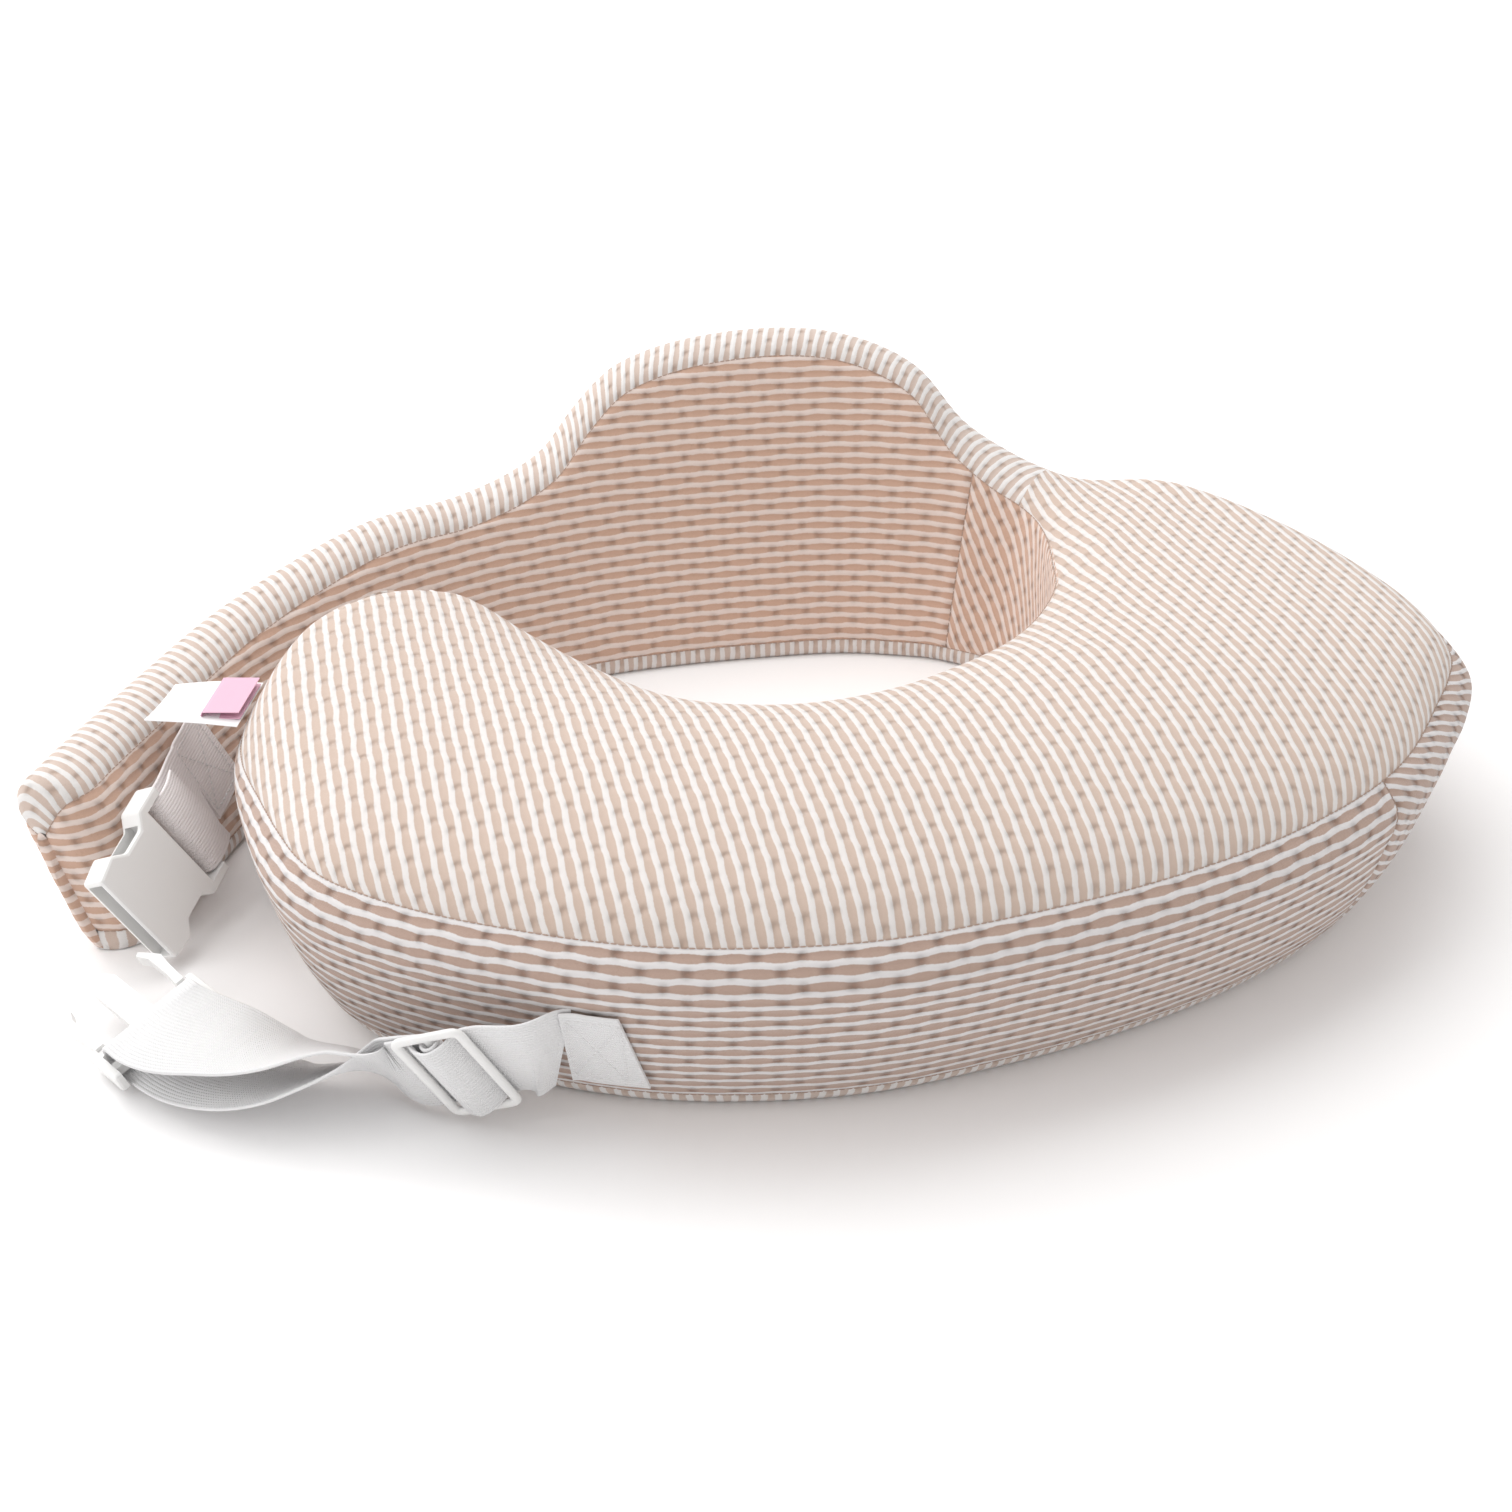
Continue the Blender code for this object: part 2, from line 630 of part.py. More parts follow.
def sewn_on(tree, starts, direction, lift):
    """Places off the surface where rays meet it, the way down its slope, and the way off it."""
    direction = Vector(direction)
    rise = Vector((0, 0, WEB_WIDTH / 3))
    places = []
    for start in starts:
        place, normal, _, _ = tree.ray_cast(layout(start), direction)
        if normal.dot(direction) > 0:
            normal = -normal
        places.append(place + normal * lift)
    low = tree.ray_cast(layout(starts[-1]) - rise, direction)[0]
    high = tree.ray_cast(layout(starts[-1]) + rise, direction)[0]
    return places, (low - high).normalized(), normal


def straps(points, cushion_faces, band_faces, finishes, joints):
    """The sewn-on webbing, the long strap with its adjuster, and both halves of the buckle."""
    webbing, plastic = finishes["webbing"], finishes["buckle"]
    lift = WEB_THICK / 2 + SEAM_GAP + 0.0003

    wall = BVHTree.FromPolygons([Vector(p) for p in points], cushion_faces)
    arm = BVHTree.FromPolygons([Vector(p) for p in points], band_faces)

    # Female side, on the band's inner face
    female = frame_matrix(FEMALE_PLACE, FEMALE_ACROSS, FEMALE_ALONG)
    female_across = female.col[0].xyz
    sewn, down, off = sewn_on(arm, FEMALE_SEWN, (-1, 0, 0), lift)
    ribbon("female_anchor_webbing", sewn, [down] * len(sewn), webbing, joints["band"])
    bar = -3.75
    loop = [(-26, 4.2), (-14, 4.3)] + round_bar(bar, 4.3, 90, -90, 6) + [(-13, -4.1), (-22, -1.0)]
    ahead = (sewn[-1] - sewn[-2]).normalized()
    fold = sewn[-1] + ahead * FOLD_GAP + off * FEMALE_FOLD_LIFT
    places = [fold, fold + ahead * 0.003] + in_frame(female, loop)
    across = [down, down.lerp(female_across, 0.2)] + [female_across] * len(loop)
    joints["female_strap"] = empty("female_strap_axis", fold)
    ribbon("female_webbing", places, across, webbing, joints["female_strap"])
    joints["female_buckle"] = empty("female_buckle_axis", female @ Vector((0, bar * MM, 0)))
    female_buckle(female, plastic, joints["female_buckle"])

    # Male side, on the cushion's front wall
    glide = frame_matrix(ADJUSTER_PLACE, ADJUSTER_ACROSS, ADJUSTER_ALONG)
    male = frame_matrix(MALE_PLACE, MALE_ACROSS, MALE_ALONG)
    glide_across, male_across = glide.col[0].xyz, male.col[0].xyz
    sewn, down, off = sewn_on(wall, ANCHOR_SEWN, (0, 1, 0), lift)
    ribbon("anchor_webbing", sewn, [down] * len(sewn), webbing)
    ahead = (sewn[-1] - sewn[-2]).normalized()
    fold = sewn[-1] + ahead * FOLD_GAP + off * FOLD_LIFT
    joints["strap"] = empty("strap_axis", fold)
    through = [(22, -3.4), (16, -3.2), (12, -2.9), (5.8, 3.4), (0, 5.8), (-5.8, 3.4), (-12, -2.9),
               (-16, -3.2), (-23, -3.4)]
    wrap = [(-27, -6.2), (-18, -5.7), (-12, -5), (-6, -4.2)] + round_bar(0, 3.6, -90, 180, 8)
    bar = -4.9
    male_loop = [(-22, 11.5), (-12, 12), (-5, 11.4), (-0.5, 9), (2.4, 5), (3.4, 0.5), (2, -3.2),
                 (-1.5, -4.8), (-6, -5), (-12, -4.8), (-22, -5)]
    lower, upper = STRAP_LOWER, STRAP_UPPER
    places = ([fold, fold + ahead * 0.003, layout(LEAD_PLACE)] + in_frame(glide, through)
              + [layout(place) for place, _ in upper] + in_frame(male, male_loop)
              + [layout(place) for place, _ in lower] + in_frame(glide, wrap))
    across = ([down, down, down.lerp(glide_across, 0.4)] + [glide_across] * len(through)
              + [Vector(turn) for _, turn in upper] + [male_across] * len(male_loop)
              + [Vector(turn) for _, turn in lower] + [glide_across] * len(wrap))
    ribbon("loop_webbing", places, across, webbing, joints["strap"], steps=2)
    adjuster(glide, plastic, joints["strap"])
    joints["male_buckle"] = empty("male_buckle_axis", male @ Vector((0, bar * MM, 0)))
    male_base(male, plastic, joints["male_buckle"])
    for name, side in (("near", -1), ("far", 1)):
        root = male @ Vector((side * ARM_ROOT, 0.0103, 0))
        joints[name] = empty("male_arm_axis_" + name, root)
        male_arm("male_buckle_arm_" + name, side, male, plastic, joints[name])


def labels(finishes):
    """A care label and a folded tab, sewn into the seam on the lobe's left."""
    frame = frame_matrix(LABEL_PLACE, (0.10, 0.99, 0.03), (-0.99, 0.10, -0.05))
    block("care_label", (-0.020, 0, -0.0003), (0.020, 0.043, 0.0003), finishes["label"], None, frame)
    block("side_tab", (-0.016, 0, 0.0008), (0.020, 0.026, 0.0032), finishes["tab"], None, frame,
          bevel=0.0008)


def zip_fastener(finishes, joints):
    """The cover's zip, in the hollow of the underside: tapes, teeth, slider, pull and stops."""
    tape, metal = finishes["zip"], finishes["metal"]
    frame = frame_matrix((0, ZIP_Y, 0), (0, 1, 0), (1, 0, 0))
    half = ZIP_LENGTH / 2
    z = ARCH_Z - 0.0004

    def strip(name, low, high, finish, parent=None, bevel=0.0):
        # The zip runs along X: each block is given as (along, across, height)
        low, high = [(low[1], low[0], -high[2]), (high[1], high[0], -low[2])]
        return block(name, low, high, finish, parent, frame, bevel)

    for name, side in (("left", 1), ("right", -1)):
        near, far = sorted((side * 0.0012, side * 0.0135))
        strip("zip_tape_" + name, (-half, near, z - 0.0008), (half, far, z), tape)
    strip("zip_teeth", (-half + 0.004, -0.0009, z - 0.0022), (half - 0.004, 0.0009, z - 0.0002), tape)
    for name, x in (("start", -half + 0.0012), ("end", half - 0.0036)):
        strip("zip_stop_" + name, (x, -0.0009, z - 0.0026), (x + 0.0024, 0.0009, z - 0.0002), metal)
    joints["slider"] = empty("zip_slider_axis", layout((ZIP_START, ZIP_Y, 5)))
    x = ZIP_START * MM
    slider = strip("zip_slider", (x - 0.005, -0.0034, 0.0038), (x + 0.005, 0.0034, z - 0.0011), metal,
                   joints["slider"])
    groove = strip("cut", (x - 0.02, -0.0014, z - 0.0026), (x + 0.02, 0.0014, z + 0.01), metal,
                   joints["slider"])
    combine(slider, groove, "DIFFERENCE")
    joints["pull"] = empty("zip_pull_axis", layout((ZIP_START + 5.6, ZIP_Y, 4.6)))
    strip("zip_pull", (x + 0.0053, -0.0028, 0.0040), (x + 0.0250, 0.0028, 0.0052), metal,
          joints["pull"], bevel=0.0004)


def main():
    for old in list(bpy.data.objects):
        bpy.data.objects.remove(old)
    finishes = {
        "knit": material("knit", (0.78, 0.62, 0.50), 0.9),
        "liner": material("liner", (0.90, 0.89, 0.86), 0.9),
        "foam": material("foam", (0.93, 0.88, 0.70), 0.95),
        "webbing": material("webbing", (0.92, 0.91, 0.90), 0.8),
        "buckle": material("buckle", (0.93, 0.93, 0.92), 0.4),
        "label": material("label", (0.95, 0.95, 0.95), 0.7),
        "tab": material("tab", (0.90, 0.60, 0.66), 0.7),
        "zip": material("zip", (0.88, 0.85, 0.80), 0.6),
        "metal": material("metal", (0.75, 0.75, 0.74), 0.35, 1.0),
    }
    joints = {"band": empty("band_axis", layout(BAND_AXIS))}
    points, cushion_faces, band_faces = soft_body(finishes, joints["band"])
    straps(points, cushion_faces, band_faces, finishes, joints)
    labels(finishes)
    zip_fastener(finishes, joints)


main()
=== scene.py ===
import math

import bmesh
import bpy
import numpy as np
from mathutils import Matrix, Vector
from mathutils.bvhtree import BVHTree


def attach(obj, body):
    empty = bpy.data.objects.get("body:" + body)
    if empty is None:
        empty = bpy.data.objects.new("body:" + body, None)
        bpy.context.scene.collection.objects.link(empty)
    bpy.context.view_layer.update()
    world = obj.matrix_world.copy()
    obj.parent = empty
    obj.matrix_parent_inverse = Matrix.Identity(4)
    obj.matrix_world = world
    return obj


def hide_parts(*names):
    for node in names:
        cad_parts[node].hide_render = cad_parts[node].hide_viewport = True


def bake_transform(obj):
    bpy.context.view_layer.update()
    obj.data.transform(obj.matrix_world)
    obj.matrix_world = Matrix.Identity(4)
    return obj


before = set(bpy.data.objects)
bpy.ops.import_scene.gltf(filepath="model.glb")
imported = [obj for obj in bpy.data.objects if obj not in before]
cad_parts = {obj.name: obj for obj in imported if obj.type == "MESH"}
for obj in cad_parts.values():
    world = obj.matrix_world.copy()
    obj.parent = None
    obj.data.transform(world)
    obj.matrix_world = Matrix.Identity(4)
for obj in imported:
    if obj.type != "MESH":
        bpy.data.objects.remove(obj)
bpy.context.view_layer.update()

# ---------------------------------------------------------------- the pillow's layout, as in the CAD
MM = 0.001
CENTRE = np.array([7.15, 62.0, 0.0])
OUTER_PLAN = [
    (-165, 112), (-206, 95), (-232, 55), (-238, 5), (-222, -62), (-180, -140), (-142, -163),
    (-100, -178), (-40, -191), (0, -192), (57, -185), (104, -170), (160, -147), (224, -110),
    (284, -56), (322, 8), (343, 58), (342, 92), (324, 150), (293, 207), (250, 258), (206, 283),
    (168, 286),
]
INNER_PLAN = [
    (-165, 112), (-128, 104), (-95, 74), (-64, 42), (-27, 16), (15, 12), (54, 25), (88, 49),
    (116, 74), (140, 110), (153, 150), (148, 186),
]
OUTER_LEVELS = [(30, 0), (21, 9), (10, 33), (3, 57), (0, 79), (9, 91)]
INNER_LEVELS = [(18, 0), (10, 9), (5, 33), (1, 57), (0, 77), (6, 91)]
BAND_PLAN = [
    (128, 209, 99, 55), (104, 222, 111, 45), (80, 228, 147, 38), (54, 231, 163, 36),
    (-3, 224, 168, 36), (-60, 211, 153, 36), (-95, 198, 115, 36), (-130, 181, 101, 36),
    (-165, 156, 100, 36), (-195, 126, 94, 36), (-221, 93, 87, 36), (-240, 52, 82, 36),
    (-252, 8, 82, 36), (-263, -34, 82, 36), (-271, -62, 80, 36),
]
STATIONS, BAND_STATIONS = 51, 33
LEVELS, TOP_INTERIOR = 6, 3
TOP_COLUMNS = list(range(5, 12))
OUTER_COLUMNS = list(range(11, 16))
INNER_COLUMNS = list(range(1, 6))
BOTTOM_COLUMNS = list(range(15, 21)) + [0, 1]
SKIN = 0.0016
STRIPE, DIMPLE = 0.006, 0.0175
GRID = 0.0024
# How far a seam draws the cloth in, how wide the hollow is, and how deep the thread lies in it
TUCK, TUCK_WIDTH, THREAD_DEPTH = 0.0015, 0.0055, 0.0013
FOAM_DEPTH, LINER_DEPTH, LINER_THICK = 0.0052, 0.0028, 0.0008
WEB_WIDTH, WEB_THICK = 0.045, 0.0014
LABEL_WIDTH, LABEL_LENGTH = 0.040, 0.043
TAB_WIDTH, TAB_LENGTH = 0.032, 0.018
RIBBON_THICK = 0.0004


def unit(v):
    return v / np.maximum(np.linalg.norm(v, axis=-1, keepdims=True), 1e-12)


def flow(rows, step):
    """Rows along a smooth surface through the given rows, `step` apart, and where each one went."""
    gaps = np.linalg.norm(np.diff(rows[:, :, :3], axis=0), axis=2).mean(axis=1)
    place = np.concatenate([[0], np.cumsum(np.maximum(gaps, 1e-6))])
    slopes = np.gradient(rows, place, axis=0)
    out, index = [rows[0]], [0]
    for k in range(len(rows) - 1):
        gap = place[k + 1] - place[k]
        for t in np.linspace(0, 1, max(1, round(gap / step)) + 1)[1:]:
            out.append((2 * t**3 - 3 * t**2 + 1) * rows[k] + (t**3 - 2 * t**2 + t) * slopes[k] * gap
                       + (3 * t**2 - 2 * t**3) * rows[k + 1] + (t**3 - t**2) * slopes[k + 1] * gap)
        index.append(len(out) - 1)
    return np.array(out), index


def flow_path(points, step):
    return flow(np.array(points, float)[:, None, :], step)[0][:, 0]


def lengths(path):
    return np.concatenate([[0], np.cumsum(np.linalg.norm(np.diff(path, axis=0), axis=1))])


def read_at(path, share):
    """Points of a dense plan path at shares of its length."""
    measure = lengths(path[:, :2])
    wanted = np.array(share) * measure[-1]
    return np.array([np.interp(wanted, measure, column) for column in path.T]).T


def smooth(x):
    x = np.clip(x, 0, 1)
    return x * x * (3 - 2 * x)


def plan_normals(path):
    tangent = np.gradient(path[:, :2], axis=0)
    return unit(np.stack([tangent[:, 1], -tangent[:, 0]], axis=1))


def cushion_rings():
    whole = np.array(INNER_PLAN[::-1] + OUTER_PLAN[1:], float) * MM
    dense = flow_path(np.pad(whole, ((0, 0), (0, 1))), 0.0015)[:, :2]
    tip = int(np.argmin(np.linalg.norm(dense - np.array(OUTER_PLAN[0]) * MM, axis=1)))
    turned = plan_normals(dense)
    share = np.linspace(0, 1, STATIONS) ** 1.25 * 0.93
    whole = np.hstack([dense, turned])
    inner, outer = read_at(whole[: tip + 1][::-1], share), read_at(whole[tip:], share)
    inner_length, outer_length = lengths(dense[: tip + 1])[-1], lengths(dense[tip:])[-1]
    if np.dot(outer[-1, 2:], inner[-1, :2] - outer[-1, :2]) < 0:
        inner[:, 2:], outer[:, 2:] = -inner[:, 2:], -outer[:, 2:]
    rings = []
    for i in range(STATIONS):
        t = 25 * i / (STATIONS - 1)
        width = np.linalg.norm(outer[i, :2] - inner[i, :2])
        near_root = max(0.0, (t - 19) / 6)
        apart = smooth(t / 5)
        slack = min(1.0, width / 0.110 + 0.45)
        # Round the lobe's end the top panel reaches further down the side
        low_out = 1 - smooth((share[i] * outer_length - 0.125) / 0.150)
        low_in = 1 - smooth((share[i] * inner_length - 0.030) / 0.090)

        def level(side, inset, height):
            return np.append(side[i, :2] + side[i, 2:] * inset * MM * slack, height * MM)

        inner_side, outer_side = [], []
        for k in range(LEVELS):
            (a, za), (b, zb) = INNER_LEVELS[k], OUTER_LEVELS[k]
            mean, z_mean = (a + b) / 2, (za + zb) / 2
            a, b = mean + (a - mean) * apart, mean + (b - mean) * apart
            za, zb = z_mean + (za - z_mean) * apart, z_mean + (zb - z_mean) * apart
            shorter = 0.15 * smooth((k - 1) / 4)
            top_in = 0.85 if k == LEVELS - 1 else 0
            inner_side.append(level(inner, a * (1 - 0.9 * near_root) * (1 - top_in * low_in),
                                    za * (1 - shorter * low_in)))
            outer_side.append(level(outer, b * (1 + 0.3 * near_root) * (1 - top_in * low_out),
                                    zb * (1 - shorter * low_out)))
        # The lobe's end is rounded over
        rounded = 11 * (1 - smooth(i / 2.5))
        inner_shoulder = level(inner, 20 - 4 * low_in, 100.5 + 0.8 * low_in - rounded)
        outer_shoulder = level(outer, 20 - 4 * low_out, 100.5 + 0.8 * low_out - rounded)
        crown = 0.117 + (0.103 - 0.117) * near_root
        crown = 0.1005 + (crown - 0.1005) * min(1.0, width / 0.120)
        top = []
        for k in range(1, TOP_INTERIOR + 1):
            s = k / (TOP_INTERIOR + 1)
            point = inner_shoulder * (1 - s) + outer_shoulder * s
            point[2] = point[2] + (crown - 0.1005) * (1 - abs(2 * s - 1) ** 2.4)
            top.append(point)
        across = outer_side[0] - inner_side[0]
        span = np.linalg.norm(across)
        flat = min(0.034 / max(span, 1e-9), 0.3)
        arch = min(flat + 0.06, 0.38)
        arch_z = 0.0095 * max(0.0, min(1.0, (span - 0.030) / 0.070)) * (1 - near_root)
        bottom = []
        for s, z in ((1 - flat, 0), (1 - arch, arch_z), (arch, arch_z), (flat, 0)):
            point = inner_side[0] + across * s
            point[2] = z
            bottom.append(point)
        rings.append(inner_side + [inner_shoulder] + top + [outer_shoulder] + outer_side[::-1] + bottom)
    return np.array(rings)


# Where on the band's round crown its inner top seam lies, in radians from the inner face
EARLY = 0.50


def band_rings():
    """Sections of the band. At its free end the foam's edges are well rounded, most on the inside."""
    dense = flow_path(np.array(BAND_PLAN, float) * MM, 0.002)
    total = lengths(dense[:, :2])[-1]
    end = total - np.array([0.030, 0.024, 0.018, 0.0130, 0.009, 0.006, 0.0035, 0.0015, 0.0004, 0.0])
    before = np.linspace(0, total - 0.034, BAND_STATIONS - 2)
    marks = np.concatenate([before, end])
    path = read_at(dense, marks / total)
    normals = plan_normals(path)
    if normals[BAND_STATIONS // 3][1] < 0:
        normals = -normals
    rings = []
    for (x, y, height, thick), normal, mark in zip(path, normals, marks):
        left = total - mark

        def rounding(radius):
            return radius * (1 - math.sqrt(max(0.0, 1 - max(0.0, 1 - left / radius) ** 2)))

        def at(across, z):
            reach = across + 0.36 * z
            return np.array([x + normal[0] * reach, y + normal[1] * reach, z])

        near, far = rounding(0.024), rounding(0.008)
        drop = rounding(0.014)
        wide = thick - near - far
        crown = min(0.016, wide * 0.6)
        seam = height - drop * 0.6 - 0.016
        heights = [0, 0.009, 0.25 * seam, 0.5 * seam, 0.78 * seam, seam]
        insets = [0.007, 0.001, 0, 0, 0, 0]
        taper = wide / thick
        inner_side = [at(near + d * taper, z) for d, z in zip(insets[:5], heights)]
        inner_side.append(at(near + wide / 2 * (1 - math.cos(EARLY)), seam + crown * math.sin(EARLY)))
        outer_side = [at(thick - far - d * taper, z) for d, z in zip(insets, heights)]
        top = []
        for k in range(1, TOP_INTERIOR + 3):
            angle = EARLY + (math.pi - EARLY) * k / (TOP_INTERIOR + 3)
            top.append(at(near + wide / 2 * (1 - math.cos(angle)), seam + crown * math.sin(angle)))
        foot = [at(near + wide / 2 + d * taper, 0) for d in (0.004, 0.0014, -0.0014, -0.004)]
        rings.append(inner_side + top + outer_side[::-1] + foot)
    return np.array(rings)


RINGS = np.concatenate([cushion_rings(), band_rings()]) - CENTRE * MM
DENSE, AT = flow(RINGS, GRID)
ROOT = AT[STATIONS]
LAST = len(DENSE) - 1


def panel_grid(first, last, columns):
    """Points of one panel: dense rows between two stations, dense columns across, flat on the floor."""
    grid = flow(DENSE[first : last + 1][:, columns].transpose(1, 0, 2), GRID)[0].transpose(1, 0, 2)
    grid[:, :, 2] = np.maximum(grid[:, :, 2], 0.0)
    return grid


def grid_normals(grid):
    normal = np.cross(np.gradient(grid, axis=0), np.gradient(grid, axis=1))
    size = np.linalg.norm(normal, axis=2)
    normal = unit(normal)
    for i, j in zip(*np.nonzero(size < 1e-10)):
        near = min(range(len(grid)), key=lambda r: (size[r, j] < 1e-10, abs(r - i)))
        normal[i, j] = normal[near, j]
    return normal


OUT = np.sign(grid_normals(panel_grid(0, ROOT, TOP_COLUMNS))[:, :, 2].mean())


def border_distance(grid, sides):
    rows = np.cumsum(np.pad(np.linalg.norm(np.diff(grid, axis=0), axis=2), ((1, 0), (0, 0))), axis=0)
    cols = np.cumsum(np.pad(np.linalg.norm(np.diff(grid, axis=1), axis=2), ((0, 0), (1, 0))), axis=1)
    away = np.full(grid.shape[:2], 1.0)
    if "low" in sides:
        away = np.minimum(away, cols)
    if "high" in sides:
        away = np.minimum(away, cols[:, -1:] - cols)
    if "start" in sides:
        away = np.minimum(away, rows)
    if "end" in sides:
        away = np.minimum(away, rows[-1:] - rows)
    return away


def make(name, points, faces, uv, finish, smooth_angle=60):
    """A mesh object from arrays, with the cloth's own coordinates and its faces turned outwards."""
    mesh = bpy.data.meshes.new(name)
    mesh.from_pydata(np.asarray(points).tolist(), [], [list(map(int, f)) for f in faces])
    if uv is not None:
        layer = mesh.uv_layers.new(name="cloth")
        corners = np.zeros(len(mesh.loops), np.int32)
        mesh.loops.foreach_get("vertex_index", corners)
        layer.data.foreach_set("uv", np.asarray(uv)[corners].astype(np.float32).ravel())
    mesh.polygons.foreach_set("use_smooth", [True] * len(mesh.polygons))
    mesh.materials.append(finish)
    made = bpy.data.objects.new(name, mesh)
    bpy.context.scene.collection.objects.link(made)
    work = bmesh.new()
    work.from_mesh(mesh)
    if work.calc_volume(signed=True) < 0:
        bmesh.ops.reverse_faces(work, faces=work.faces)
    for edge in work.edges:
        if len(edge.link_faces) == 2 and edge.calc_face_angle(0) > math.radians(smooth_angle):
            edge.smooth = False
    work.to_mesh(mesh)
    work.free()
    return made


def skin(name, grid, uv, normal, thick, finish):
    """A closed cloth panel: the grid outside, the same grid set in by its thickness, and its edges."""
    rows, cols = grid.shape[:2]
    total = rows * cols
    index = np.arange(total).reshape(rows, cols)
    a, b = index[:-1, :-1].ravel(), index[1:, :-1].ravel()
    c, d = index[1:, 1:].ravel(), index[:-1, 1:].ravel()
    rim = np.concatenate([index[:-1, 0], index[-1, :-1], index[:0:-1, -1], index[0, :0:-1]])
    after = np.roll(rim, -1)
    quads = np.concatenate([np.stack([a, b, c, d], 1), np.stack([a, d, c, b], 1) + total,
                            np.stack([rim, rim + total, after + total, after], 1)])
    inside = grid - normal * thick
    inside[:, :, 2] = np.maximum(inside[:, :, 2], 0.0003)
    points = np.concatenate([grid.reshape(-1, 3), inside.reshape(-1, 3)])
    return make(name, points, quads, np.concatenate([uv.reshape(-1, 2)] * 2), finish)


# ---------------------------------------------------------------- materials
class Nodes:
    """Short names for the shader nodes that the materials use."""

    def __init__(self, name):
        self.material = bpy.data.materials.new(name)
        self.material.use_nodes = True
        self.tree = self.material.node_tree
        self.shader = self.tree.nodes["Principled BSDF"]

    def add(self, kind, **inputs):
        node = self.tree.nodes.new(kind)
        for key, value in inputs.items():
            self.put(node.inputs[key.replace("_", " ")], value)
        return node

    def put(self, socket, value):
        if isinstance(value, bpy.types.NodeSocket):
            self.tree.links.new(value, socket)
        else:
            socket.default_value = value

    def math(self, operation, a, b=0.0, c=0.0):
        node = self.tree.nodes.new("ShaderNodeMath")
        node.operation = operation
        for socket, value in zip(node.inputs, (a, b, c)):
            self.put(socket, value)
        return node.outputs[0]

    def step(self, value, low, high):
        node = self.tree.nodes.new("ShaderNodeMapRange")
        node.interpolation_type = "SMOOTHSTEP"
        self.put(node.inputs["Value"], value)
        self.put(node.inputs["From Min"], low)
        self.put(node.inputs["From Max"], high)
        return node.outputs["Result"]

    def mix(self, factor, a, b):
        node = self.tree.nodes.new("ShaderNodeMix")
        node.data_type = "RGBA"
        self.put(node.inputs[0], factor)
        self.put(node.inputs[6], a)
        self.put(node.inputs[7], b)
        return node.outputs[2]

    def noise(self, vector, scale, detail=2.0, roughness=0.5):
        node = self.tree.nodes.new("ShaderNodeTexNoise")
        self.put(node.inputs["Vector"], vector)
        node.inputs["Scale"].default_value = scale
        node.inputs["Detail"].default_value = detail
        node.inputs["Roughness"].default_value = roughness
        return node.outputs["Fac"]

    def scaled(self, vector, factors):
        node = self.tree.nodes.new("ShaderNodeVectorMath")
        node.operation = "MULTIPLY"
        self.put(node.inputs[0], vector)
        node.inputs[1].default_value = factors
        return node.outputs[0]

    def bump(self, height, distance):
        node = self.tree.nodes.new("ShaderNodeBump")
        node.inputs["Distance"].default_value = distance
        self.put(node.inputs["Height"], height)
        self.put(self.shader.inputs["Normal"], node.outputs[0])

    def place(self):
        return self.tree.nodes.new("ShaderNodeTexCoord").outputs["Object"]

    def cloth(self):
        node = self.tree.nodes.new("ShaderNodeUVMap")
        node.uv_map = "cloth"
        return node.outputs[0]

    def finish(self, roughness, sheen=0.0):
        self.shader.inputs["Roughness"].default_value = roughness
        if sheen:
            self.shader.inputs["Sheen Weight"].default_value = sheen
            self.shader.inputs["Sheen Roughness"].default_value = 0.6
        return self.material


